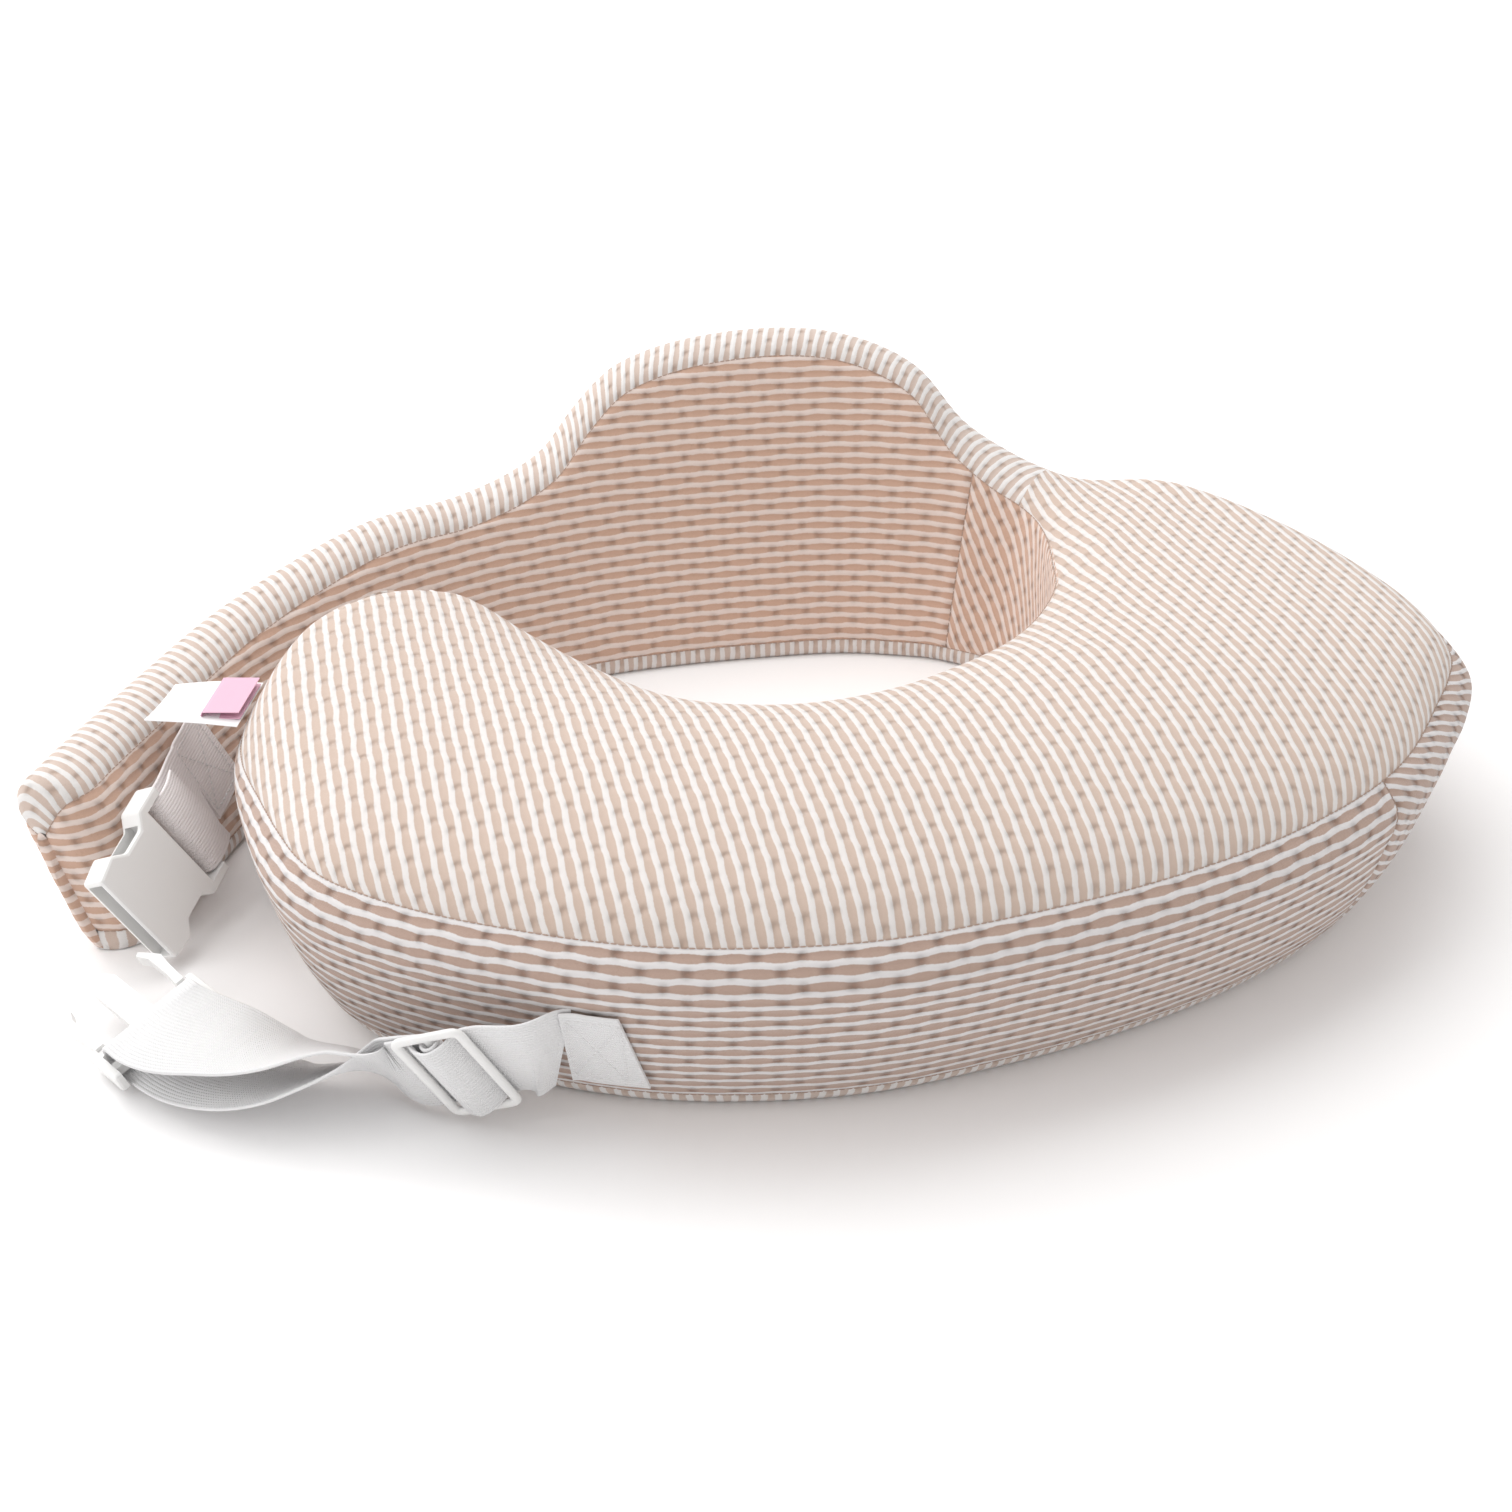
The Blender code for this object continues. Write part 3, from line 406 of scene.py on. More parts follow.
def knit(name, white_share, beige, white, dark, puff=1.0, thinner=0.0, dimple_shade=0.62):
    """Quilted jersey: heathered stripes, puckered by staggered dimples along each coloured one, with
    painted shade in the dimples.
    """
    n = Nodes(name)
    place, uv = n.place(), n.cloth()
    parts = n.add("ShaderNodeSeparateXYZ", Vector=uv)
    u, v = parts.outputs[0], parts.outputs[1]
    wander = n.math("SUBTRACT", n.noise(place, 55.0), 0.5)
    u = n.math("MULTIPLY_ADD", wander, 0.22, u)
    row = n.math("ROUND", u)
    across = n.math("SUBTRACT", u, row)
    odd = n.math("PINGPONG", row, 1.0)
    shifted = n.math("MULTIPLY_ADD", odd, 0.5, v)
    shifted = n.math("MULTIPLY_ADD", wander, 0.3, shifted)
    along = n.math("SUBTRACT", shifted, n.math("ROUND", shifted))
    fine = n.noise(place, 900.0, 3.0)
    edge = n.math("MULTIPLY_ADD", n.math("SUBTRACT", fine, 0.5), 0.10,
                  n.math("ABSOLUTE", across))
    pinch = n.math("MULTIPLY", n.math("COSINE", n.math("MULTIPLY", along, 2 * math.pi)), 0.030 * puff)
    edge = n.math("ADD", edge, pinch)
    half = n.math("MULTIPLY_ADD", n.step(n.math("ABSOLUTE", u), 3.0, 7.0), thinner / 2,
                  0.5 - white_share / 2)
    is_white = n.step(n.math("SUBTRACT", edge, half), -0.035, 0.035)
    a = n.math("POWER", n.math("DIVIDE", across, 0.30), 2.0)
    b = n.math("POWER", n.math("DIVIDE", along, 0.115), 2.0)
    dimple = n.math("EXPONENT", n.math("MULTIPLY", n.math("ADD", a, b), -1.0))
    heather = n.noise(n.scaled(uv, (7.0, 1.6, 1.0)), 6.0, 4.0, 0.7)
    speck = n.noise(place, 420.0, 2.0, 0.8)
    base = n.mix(n.math("MULTIPLY", heather, 0.55), beige, dark)
    base = n.mix(n.math("MULTIPLY", n.step(speck, 0.56, 0.78), 0.20), base, dark)
    # Painted shade: the beige and the white stripes are darkened towards `dark` in each dimple.
    base = n.mix(n.math("MULTIPLY", dimple, dimple_shade), base, dark)
    snow = n.mix(n.math("MULTIPLY", n.step(speck, 0.60, 0.85), 0.12), white, beige)
    snow = n.mix(n.math("MULTIPLY", dimple, 0.16), snow, dark)
    n.put(n.shader.inputs["Base Color"], n.mix(is_white, base, snow))
    loops = n.math("MULTIPLY", n.math("SINE", n.math("MULTIPLY", u, 2 * math.pi * 7)),
                   n.math("SINE", n.math("MULTIPLY", v, 2 * math.pi * 16)))
    swell = n.math("COSINE", n.math("MULTIPLY", across, 2 * math.pi))
    height = n.math("MULTIPLY", dimple, -1.0)
    height = n.math("MULTIPLY_ADD", swell, -0.16, height)
    height = n.math("MULTIPLY_ADD", loops, 0.035, height)
    height = n.math("MULTIPLY_ADD", fine, 0.10, height)
    n.bump(height, 0.0010 * puff)
    return n.finish(0.88, 0.25)


def weave(name, colour, shade, rows=0.0010, columns=0.0016, roughness=0.7, depth=0.00025):
    """Woven webbing or ribbon: fine ribs along it, crossed by the weft, with painted shade in the hollows
    and a faint blotchy tone.
    """
    n = Nodes(name)
    uv, place = n.cloth(), n.place()
    parts = n.add("ShaderNodeSeparateXYZ", Vector=uv)
    across = n.math("MULTIPLY", parts.outputs[0], 2 * math.pi / columns)
    along = n.math("MULTIPLY", parts.outputs[1], 2 * math.pi / rows)
    checker = n.math("MULTIPLY", n.math("SINE", across), n.math("SINE", along))
    rib = n.math("ABSOLUTE", n.math("SINE", n.math("MULTIPLY", across, 0.5)))
    height = n.math("MULTIPLY_ADD", checker, 0.45, rib)
    fuzz = n.noise(place, 1500.0, 2.0)
    height = n.math("MULTIPLY_ADD", fuzz, 0.3, height)
    n.bump(height, depth)
    cloud = n.noise(place, 30.0, 3.0)
    # Painted shade: the weave's hollows, where the bump is low, are coloured towards `shade`; faint noise
    # blotches add uneven tone.
    low = n.step(height, 0.9, -0.2)
    hollow_shade_and_blotches = n.math("MULTIPLY_ADD", low, 0.35, n.math("MULTIPLY", cloud, 0.25))
    n.put(n.shader.inputs["Base Color"], n.mix(hollow_shade_and_blotches, colour, shade))
    return n.finish(roughness, 0.15)


def moulded(name, colour, shade, roughness=0.42):
    """Moulded plastic: a satin skin with a faint spark-eroded grain and slight wear."""
    n = Nodes(name)
    place = n.place()
    cloud = n.noise(place, 45.0, 3.0)
    n.put(n.shader.inputs["Base Color"], n.mix(n.math("MULTIPLY", cloud, 0.4), colour, shade))
    grain = n.noise(place, 2600.0, 2.0)
    n.bump(n.math("MULTIPLY_ADD", cloud, 0.3, grain), 0.00004)
    n.put(n.shader.inputs["Roughness"], n.math("MULTIPLY_ADD", cloud, 0.10, roughness - 0.05))
    n.shader.inputs["Specular IOR Level"].default_value = 0.45
    return n.material


def foam(name, colour, shade):
    n = Nodes(name)
    place = n.place()
    cell = n.tree.nodes.new("ShaderNodeTexVoronoi")
    n.put(cell.inputs["Vector"], place)
    cell.inputs["Scale"].default_value = 700.0
    # Painted shade in the foam's open cells: the pores are coloured towards `shade`.
    hole = n.step(cell.outputs["Distance"], 0.15, 0.6)
    n.put(n.shader.inputs["Base Color"], n.mix(hole, colour, shade))
    n.bump(hole, 0.0006)
    return n.finish(0.95)


def plain_weave(name, colour, shade):
    """Thin cotton cloth of the inner bags."""
    n = Nodes(name)
    place = n.scaled(n.place(), (2600.0, 2600.0, 2600.0))
    parts = n.add("ShaderNodeSeparateXYZ", Vector=place)
    threads = n.math("MULTIPLY", n.math("SINE", n.math("ADD", parts.outputs[0], parts.outputs[2])),
                     n.math("SINE", n.math("SUBTRACT", parts.outputs[1], parts.outputs[2])))
    # Painted shade between the threads: the low parts of the weave are coloured towards `shade`.
    n.put(n.shader.inputs["Base Color"], n.mix(n.step(threads, -0.6, 0.8), shade, colour))
    n.bump(threads, 0.0001)
    return n.finish(0.9)


def cast_metal(name, colour):
    n = Nodes(name)
    place = n.place()
    scratch = n.noise(n.scaled(place, (1.0, 12.0, 12.0)), 300.0, 4.0)
    n.put(n.shader.inputs["Base Color"], n.mix(scratch, colour, [c * 0.8 for c in colour[:3]] + [1]))
    n.put(n.shader.inputs["Roughness"], n.math("MULTIPLY_ADD", scratch, 0.25, 0.22))
    n.shader.inputs["Metallic"].default_value = 1.0
    n.bump(scratch, 0.00003)
    return n.material


TOP_BEIGE, TOP_DARK = (0.590, 0.465, 0.390, 1), (0.430, 0.305, 0.235, 1)
# The walls' copy of the knit has a darker beige and dark than the top's, and stronger dimple darkening:
# painted shade on the walls.
WALL_BEIGE_SHADED, WALL_DARK_SHADED = (0.510, 0.370, 0.305, 1), (0.260, 0.150, 0.105, 1)
# The band's copy of the knit is warmer than the top's, with a darker dark and a pinker white: painted warm
# shade on the band.
BAND_BEIGE_SHADED, BAND_DARK_SHADED = (0.650, 0.430, 0.325, 1), (0.370, 0.215, 0.145, 1)
STRIP_BEIGE = (0.610, 0.500, 0.440, 1)
KNIT_TOP = knit("knit_top", 0.44, TOP_BEIGE, (0.720, 0.685, 0.665, 1), TOP_DARK, 1.2, dimple_shade=0.36)
KNIT_WALL_SHADED = knit("knit_wall_shaded", 0.44, WALL_BEIGE_SHADED, (0.720, 0.690, 0.685, 1), WALL_DARK_SHADED, 1.8, 0.06, 0.75)
KNIT_BAND_SHADED = knit("knit_band_shaded", 0.46, BAND_BEIGE_SHADED, (0.760, 0.640, 0.580, 1), BAND_DARK_SHADED, 1.6, dimple_shade=0.6)
KNIT_STRIP = knit("knit_strip", 0.48, STRIP_BEIGE, (0.740, 0.715, 0.700, 1), TOP_DARK)
WEBBING = weave("webbing", (0.80, 0.795, 0.800, 1), (0.71, 0.70, 0.705, 1))
# A brighter, pinker copy of the webbing for the female strap: painted light that lifts the shade under the
# lobe.
WEBBING_PAINTED_LIGHT = weave("webbing_painted_light", (0.93, 0.88, 0.88, 1), (0.84, 0.78, 0.78, 1))
PLASTIC = moulded("white_acetal", (0.84, 0.835, 0.825, 1), (0.79, 0.78, 0.77, 1))
FOAM = foam("foam", (0.93, 0.86, 0.66, 1), (0.70, 0.60, 0.42, 1))
LINER = plain_weave("liner_cotton", (0.90, 0.89, 0.86, 1), (0.72, 0.70, 0.66, 1))
RIBBON = weave("label_ribbon", (0.93, 0.93, 0.93, 1), (0.84, 0.84, 0.86, 1), 0.0005, 0.0005, 0.5,
               0.00005)
PINK = weave("tab_pink", (0.76, 0.45, 0.58, 1), (0.68, 0.38, 0.50, 1), 0.0005, 0.0006, 0.5, 0.00006)
ZIP_TAPE = plain_weave("zip_tape", (0.85, 0.79, 0.72, 1), (0.66, 0.58, 0.50, 1))
METAL = cast_metal("zip_metal", (0.62, 0.62, 0.60, 1))
# The seam thread is coloured much darker than the knit, for the dark line along the seams: partly the
# thread, partly painted shade in the seam's groove.
SEAM_THREAD = moulded("seam_thread", (0.45, 0.33, 0.27, 1), (0.34, 0.23, 0.18, 1), 0.7)
WHITE_THREAD = moulded("white_thread", (0.80, 0.79, 0.79, 1), (0.66, 0.64, 0.64, 1), 0.7)


def belongs(piece, body):
    """The band's soft pieces have their placing baked into the mesh and no parent; everything else rides on
    one body.
    """
    if body == "bends":
        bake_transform(piece)
    else:
        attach(piece, body)


def settle(piece, slot, body, *nodes):
    """Says which CAD nodes a piece replaces and what it rides on; `slot` is not used."""
    if nodes:
        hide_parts(*nodes)
    belongs(piece, body)


def down(grid):
    """Length across the panel from its first column, at each point."""
    return np.pad(np.cumsum(np.linalg.norm(np.diff(grid, axis=1), axis=2), axis=1), ((0, 0), (1, 0)))


def along(grid, column):
    """Length along one column of the panel, the same for the whole row."""
    return np.repeat(lengths(grid[:, column])[:, None], grid.shape[1], axis=1)


def striped(across, run):
    return np.stack([across / STRIPE, run / DIMPLE], axis=2)


def one_way(grid):
    """Stripes one way over the plan, as on cloth cut flat: past the shoulders it follows the surface."""
    middle = grid.shape[1] // 2
    extra = down(grid) - down(grid * [1, 1, 0])
    extra = extra - extra[:, middle : middle + 1]
    turn = math.radians(STRIPE_ANGLE)
    ends = unit(grid[:, -1, :2] - grid[:, 0, :2])
    ends[0] = ends[1]
    flat = grid[:, :, :2] + ends[:, None] * extra[:, :, None]
    side, run = np.array([math.cos(turn), math.sin(turn)]), np.array([-math.sin(turn), math.cos(turn)])
    return np.stack([flat @ side / STRIPE, flat @ run / DIMPLE], axis=2)


def cover(name, first, last, columns, seams, cloth, finish, body, *nodes):
    """One panel of the knit cover, drawn in along its seams. Returns its points and directions."""
    grid = panel_grid(first, last, columns)
    normal = grid_normals(grid) * OUT
    uv = cloth(grid)
    away = border_distance(grid, seams)
    # The panels meet in one point at the lobe's end, where no seam can draw them in
    drawn = smooth(np.arange(first, last + 1) * GRID / 0.020)[: len(grid), None]
    tucked = grid - normal * (TUCK * drawn * (1 - np.clip(away / TUCK_WIDTH, 0, 1)) ** 2)[:, :, None]
    settle(skin(name, tucked, uv, normal, SKIN, finish), "knit", body, *nodes)
    return grid, normal


STRIPE_ANGLE = 13.1
FRONT_END, GUSSET, GUSSET_END = AT[37], AT[42], (AT[STATIONS + 1] + AT[STATIONS + 2]) // 2
BOTH = ("low", "high")

top_grid, top_normal = cover("top_cover", 0, ROOT, TOP_COLUMNS, BOTH, one_way, KNIT_TOP, "cushion",
                             "cover_top_panel")
front_grid, front_normal = cover(
    "front_cover", 0, FRONT_END, OUTER_COLUMNS, BOTH + ("end",),
    lambda g: striped(down(g) + 0.0018, along(g, 0)), KNIT_WALL_SHADED, "cushion", "cover_front_wall")
cover(
    "back_cover", FRONT_END, ROOT, OUTER_COLUMNS, BOTH + ("start",),
    lambda g: striped(down(g) - 0.55 * along(g, 0), along(g, 0)), KNIT_WALL_SHADED, "cushion",
    "cover_back_wall")
cover(
    "waist_cover", 0, GUSSET, INNER_COLUMNS, BOTH + ("end",),
    lambda g: striped(down(g)[:, -1:] - down(g) + 0.0018, along(g, -1)), KNIT_WALL_SHADED, "cushion",
    "cover_inner_wall")


def gusset_stripes(grid):
    """Slanting stripes, as the cloth of this panel is cut across the others'."""
    left = along(grid, -1)[-1:] - along(grid, -1)
    return striped(0.62 * down(grid) + 0.78 * left, 0.78 * down(grid) - 0.62 * left)


gusset_grid, gusset_normal = cover(
    "gusset_cover", GUSSET, GUSSET_END, INNER_COLUMNS, BOTH + ("start", "end"), gusset_stripes,
    KNIT_BAND_SHADED, "bends", "cover_gusset")
bottom_grid, bottom_normal = cover(
    "bottom_cover", 0, ROOT, BOTTOM_COLUMNS, BOTH, lambda g: striped(along(g, 0), down(g)), KNIT_STRIP,
    "cushion", "cover_bottom_panel")

inner_grid, inner_normal = cover(
    "band_inner_cover", GUSSET_END, LAST, INNER_COLUMNS, BOTH + ("start",),
    lambda g: striped(down(g), along(g, 0)), KNIT_BAND_SHADED, "bends", "band_inner_face")
cover(
    "band_outer_cover", ROOT, LAST, OUTER_COLUMNS, BOTH,
    lambda g: striped(down(g)[:, -1:] - down(g), along(g, -1)), KNIT_BAND_SHADED, "bends", "band_outer_face")
strip_grid, strip_normal = cover(
    "band_top_cover", ROOT, LAST, TOP_COLUMNS, BOTH,
    lambda g: striped(along(g, g.shape[1] // 2) + 0.25 * down(g), down(g)), KNIT_STRIP, "bends",
    "band_top_strip")
foot_grid, foot_normal = cover(
    "band_foot_cover", ROOT, LAST, BOTTOM_COLUMNS, BOTH,
    lambda g: striped(along(g, 0), down(g)), KNIT_STRIP, "bends", "band_bottom_strip")


def end_cap():
    """The narrow panel that closes the cover at the band's free end, its stripes level."""
    ring = DENSE[LAST]
    onward = unit((DENSE[LAST] - DENSE[AT[-5]]).mean(0) * [1, 1, 0])
    closed = flow(np.concatenate([ring, ring[:1]])[:, None], 0.004)[0][:-1, 0]
    hub = closed.mean(0)
    rows = [hub + (closed - hub) * size + onward * out
            for size, out in ((1, -0.0004), (0.93, 0.0014), (0.75, 0.0030), (0.4, 0.0042))]
    count = len(closed)
    points = np.concatenate(rows + [[hub + onward * 0.0046, hub - onward * 0.0010]])
    faces = []
    for r in range(3):
        faces += [[r * count + j, r * count + (j + 1) % count, (r + 1) * count + (j + 1) % count,
                   (r + 1) * count + j] for j in range(count)]
    faces += [[3 * count + j, 3 * count + (j + 1) % count, 4 * count] for j in range(count)]
    faces += [[(j + 1) % count, j, 4 * count + 1] for j in range(count)]
    uv = np.stack([points[:, 2] / STRIPE, points[:, 1] / DIMPLE], axis=1)
    settle(make("band_end_cover", points, faces, uv, KNIT_BAND_SHADED), "knit", "bends", "band_end_panel")


end_cap()


# ---------------------------------------------------------------- foam and liners
def ring_surface(first, last, depth, shrink_first, shrink_last):
    """The whole outside between two rows as closed rings, moved in by a depth."""
    columns = list(range(DENSE.shape[1])) + [0]
    rows = DENSE[first : last + 1 : 2][:, columns]
    normal = grid_normals(rows) * OUT
    normal[:, 0] = normal[:, -1] = unit(normal[:, 0] + normal[:, -1])
    rows = (rows - normal * depth)[:, :-1]
    for end, step, distance in ((0, 1, shrink_first), (-1, -1, shrink_last)):
        rows[end] = rows[end] + unit((rows[end + step] - rows[end]).mean(0)) * distance
    return rows


def block_of_foam(name, first, last, depth, ends, body, finish, slot, node, bag=None):
    """A foam block, or the liner bag round it where `bag` is its thickness."""
    depths = [depth] if bag is None else [depth, depth + bag]
    layers = [ring_surface(first, last, d, *ends) for d in depths]
    faces, points = [], []
    for n, rows in enumerate(layers):
        count, size = rows.shape[:2]
        start = len(points)
        points += rows.reshape(-1, 3).tolist()
        built = [[start + i * size + j, start + i * size + (j + 1) % size,
                  start + (i + 1) * size + (j + 1) % size, start + (i + 1) * size + j]
                 for i in range(count - 1) for j in range(size)]
        for i, turn in ((0, 1), (count - 1, -1)):
            hub = len(points)
            inward = 0.0006 * n * (1 if i == 0 else -1)
            points.append((rows[i].mean(0) + unit(rows[1].mean(0) - rows[0].mean(0)) * inward).tolist())
            built += [[start + i * size + (j + 1) % size, start + i * size + j, hub][::turn]
                      for j in range(size)]
        faces += built if n == 0 else [face[::-1] for face in built]
    made = make(name, points, faces, None, finish)
    settle(made, slot, body, node)
    return made


foam_cushion = block_of_foam("cushion_foam", 2, ROOT, FOAM_DEPTH, (0.0, 0.0010), "cushion", FOAM,
                             "foam", "cushion_foam_core")
foam_band = block_of_foam("band_foam", ROOT, LAST - 2, FOAM_DEPTH, (0.0016, 0.0030), "bends", FOAM,
                          "foam", "band_foam_core")
block_of_foam("cushion_liner_bag", 1, ROOT, LINER_DEPTH, (0.0, 0.0004), "cushion", LINER, "liner",
              "cushion_liner", LINER_THICK)
block_of_foam("band_liner_bag", ROOT, LAST - 1, LINER_DEPTH, (0.0010, 0.0020), "bends", LINER, "liner",
              "band_liner", LINER_THICK)


# ---------------------------------------------------------------- seam stitches
def stitches(name, seams, finish, body, slot, pitch=0.0030, size=0.00030, share=0.86):
    """Small thread stitches along seams given as (points, outward directions)."""
    points, faces = [], []
    for line, outward in seams:
        measure = lengths(line)
        count = max(1, int(measure[-1] / pitch))
        starts = (np.arange(count) + 0.5) * measure[-1] / count
        read = lambda rows, at: np.stack([np.interp(at, measure, column) for column in rows.T], 1)
        centre, out = read(line, starts), unit(read(outward, starts))
        run = unit(read(line, starts + 0.0005) - read(line, starts - 0.0005))
        side = np.cross(run, out)
        half = pitch * share / 2
        for c, t, o, w in zip(centre, run, out, side):
            base = len(points)
            for shift, scale in ((-half, 0.35), (-half * 0.5, 1), (half * 0.5, 1), (half, 0.35)):
                for a in (0, 72, 144, 216, 288):
                    angle = math.radians(a)
                    round_it = o * math.cos(angle) + w * math.sin(angle)
                    points.append(c + t * shift + round_it * size * scale)
            for r in range(3):
                for j in range(5):
                    faces.append([base + 5 * r + j, base + 5 * r + (j + 1) % 5,
                                  base + 5 * r + 5 + (j + 1) % 5, base + 5 * r + 5 + j])
            faces += [[base + j for j in range(5)][::-1], [base + 15 + j for j in range(5)]]
    settle(make(name, points, faces, None, finish, 80), slot, body)


def seam(grid, normal, column, start=0):
    return grid[start:, column] - normal[start:, column] * THREAD_DEPTH, normal[start:, column]


def seam_across(grid, normal, row):
    return grid[row] - normal[row] * THREAD_DEPTH, normal[row]


stitches("cushion_seams", [
    seam(top_grid, top_normal, 0, 4), seam(top_grid, top_normal, -1, 4),
    seam(bottom_grid, bottom_normal, 0, 4), seam(bottom_grid, bottom_normal, -1, 4),
    seam_across(front_grid, front_normal, -1), seam_across(gusset_grid, gusset_normal, 0)],
    SEAM_THREAD, "cushion", "knit")
stitches("band_seams", [
    seam(strip_grid, strip_normal, 0), seam(strip_grid, strip_normal, -1),
    seam(foot_grid, foot_normal, 0), seam(foot_grid, foot_normal, -1),
    seam_across(inner_grid, inner_normal, 0)],
    SEAM_THREAD, "bends", "knit")


# ---------------------------------------------------------------- webbing
def layout(place):
    return (np.array(place, float) - CENTRE) * MM


def frame_of(place, across, run):
    y = unit(np.array(run, float))
    x = np.array(across, float)
    x = unit(x - y * (x @ y))
    return layout(place), x, y, np.cross(x, y)


def in_frame(axes, rows):
    """Places given as (along, off) in mm in a buckle part's own axes."""
    place, x, y, z = axes
    return [place + y * a * MM + z * b * MM for a, b in rows]


def round_bar(centre, radius, start, end, turns):
    angles = np.radians(np.linspace(start, end, turns + 1))
    return [(centre + radius * math.cos(a), radius * math.sin(a)) for a in angles]


def ribbon(name, places, across, finish, slot, body, node, slant=0.0):
    """Webbing along places, its width turned to `across`, with rounded selvedges. Returns its rows."""
    spread = np.hstack([np.array(places, float), unit(np.array(across, float))])
    path = flow_path(spread, 0.0015)
    centre, wide = path[:, :3], path[:, 3:]
    run = unit(np.gradient(centre, axis=0))
    wide = unit(wide - run * np.sum(wide * run, axis=1)[:, None])
    out = np.cross(wide, run)
    half, t = WEB_WIDTH / 2, WEB_THICK / 2
    section = [(-half + t, -t), (0, -t), (half - t, -t), (half - t * 0.3, -t * 0.7), (half, 0),
               (half - t * 0.3, t * 0.7), (half - t, t), (0, t), (-half + t, t), (-half + t * 0.3, t * 0.7),
               (-half, 0), (-half + t * 0.3, -t * 0.7)]
    size = len(section)
    measure = lengths(centre)
    points, uv = [], []
    for k in range(len(centre)):
        # A slanted start: the width's two edges begin at different lengths
        ease = max(0.0, 1 - measure[k] / 0.02)
        for x, z in section:
            shift = run[k] * (x / half) * slant * ease
            points.append(centre[k] + wide[k] * x + out[k] * z + shift)
            uv.append((x, measure[k]))
    faces = [[k * size + j, k * size + (j + 1) % size, (k + 1) * size + (j + 1) % size, (k + 1) * size + j]
             for k in range(len(centre) - 1) for j in range(size)]
    faces += [[j for j in range(size)][::-1], [(len(centre) - 1) * size + j for j in range(size)]]
    settle(make(name, points, faces, uv, finish, 50), slot, body, node)
    return centre, wide, out, measure[-1]


def sewn_on(grid, starts, direction, lift):
    """Places off a panel where rays meet it, the way down its slope, and the way off it."""
    rows, cols = grid.shape[:2]
    index = np.arange(rows * cols).reshape(rows, cols)
    quads = np.stack([index[:-1, :-1], index[1:, :-1], index[1:, 1:], index[:-1, 1:]], 2).reshape(-1, 4)
    tree = BVHTree.FromPolygons([Vector(p) for p in grid.reshape(-1, 3)], quads.tolist())
    direction = Vector(direction)
    rise = Vector((0, 0, WEB_WIDTH / 3))
    places, normals = [], []
    for start in starts:
        place, normal, _, _ = tree.ray_cast(Vector(layout(start)), direction)
        normal = -normal if normal.dot(direction) > 0 else normal
        places.append(np.array(place + normal * lift))
        normals.append(np.array(normal))
    low = tree.ray_cast(Vector(layout(starts[-1])) - rise, direction)[0]
    high = tree.ray_cast(Vector(layout(starts[-1])) + rise, direction)[0]
    return places, np.array((low - high).normalized()), normals


# The sewn patches stand clear of the knit under them
LIFT = WEB_THICK / 2 + 0.0009
FEMALE = frame_of((-262, -28, 42), (0.50, 0.25, -0.83), (-0.24, -0.93, -0.28))
GLIDE = frame_of((-117, -184, 32), (0.34, 0.26, -0.88), (0.91, -0.20, 0.36))
MALE = frame_of((-250, -134, 16), (0.71, 0.62, 0.32), (-0.69, 0.72, -0.03))


def toward(a, b, share):
    return unit(a + (b - a) * share)


sewn, fall, off = sewn_on(inner_grid, [(-240, y, z) for y, z in ((46, 50), (37, 48), (28, 46), (19, 44))],
                          (-1, 0, 0), LIFT)
ahead = unit(sewn[-1] - sewn[-2])
fold = sewn[-1] + ahead * 0.003 + off[-1] * 0.0006
female_patch = ribbon("female_anchor_strap", sewn + [fold], [fall] * 5, WEBBING_PAINTED_LIGHT, "webbing", "band",
                      "female_anchor_webbing")
loop = [(-17, 4.3)] + round_bar(-3.75, 4.3, 90, -90, 8) + [(-13, -4.1), (-22, -1.0)]
ribbon("female_strap_loop", [fold] + in_frame(FEMALE, loop), [fall] + [FEMALE[1]] * len(loop),
       WEBBING_PAINTED_LIGHT, "webbing", "female_strap", "female_webbing")

UPPER = [((-164, -167, 29), (0.34, 0.72, -0.60)), ((-191, -165, 27.5), (0.42, 0.84, -0.30)),
         ((-216, -158.5, 28.5), (0.54, 0.82, 0.04))]
LOWER = [((-217, -158.5, 11), (0.54, 0.82, 0.05)), ((-190, -167, 13.5), (0.42, 0.86, -0.22)),
         ((-162, -168, 21), (0.34, 0.78, -0.50))]
sewn, fall, off = sewn_on(front_grid, [(x, -260, 42) for x in (-47, -55, -63, -71)], (0, 1, 0), LIFT)
ahead = unit(sewn[-1] - sewn[-2])
fold = sewn[-1] + ahead * 0.003 + off[-1] * 0.0006
front_patch = ribbon("anchor_strap", sewn + [fold], [fall] * 5, WEBBING, "webbing", "cushion",
                     "anchor_webbing", slant=-0.0045)
through = [(17, -3.3), (12, -2.9), (5.8, 3.4), (0, 5.8), (-5.8, 3.4), (-12, -2.9),
           (-16, -3.2), (-23, -3.4)]
wrap = [(-27, -6.2), (-18, -5.7), (-12, -5), (-6, -4.2)] + round_bar(0, 3.6, -90, 180, 10)
male_loop = [(-12, 11.6), (-5, 11.2), (-0.5, 9), (2.4, 5), (3.2, 0.5), (2, -3.2), (-1.5, -4.8),
             (-6, -5.0), (-12, -5.0)]
places = ([fold + ahead * 0.0012 + off[-1] * 0.0003, layout((-86.5, -187.5, 41.8))]
          + in_frame(GLIDE, through) + [layout(p) for p, _ in UPPER] + in_frame(MALE, male_loop)
          + [layout(p) for p, _ in LOWER] + in_frame(GLIDE, wrap))
across = ([fall, toward(fall, GLIDE[1], 0.5)] + [GLIDE[1]] * len(through)
          + [np.array(a) for _, a in UPPER] + [MALE[1]] * len(male_loop)
          + [np.array(a) for _, a in LOWER] + [GLIDE[1]] * len(wrap))
ribbon("long_strap", places, across, WEBBING, "webbing", "strap", "loop_webbing")


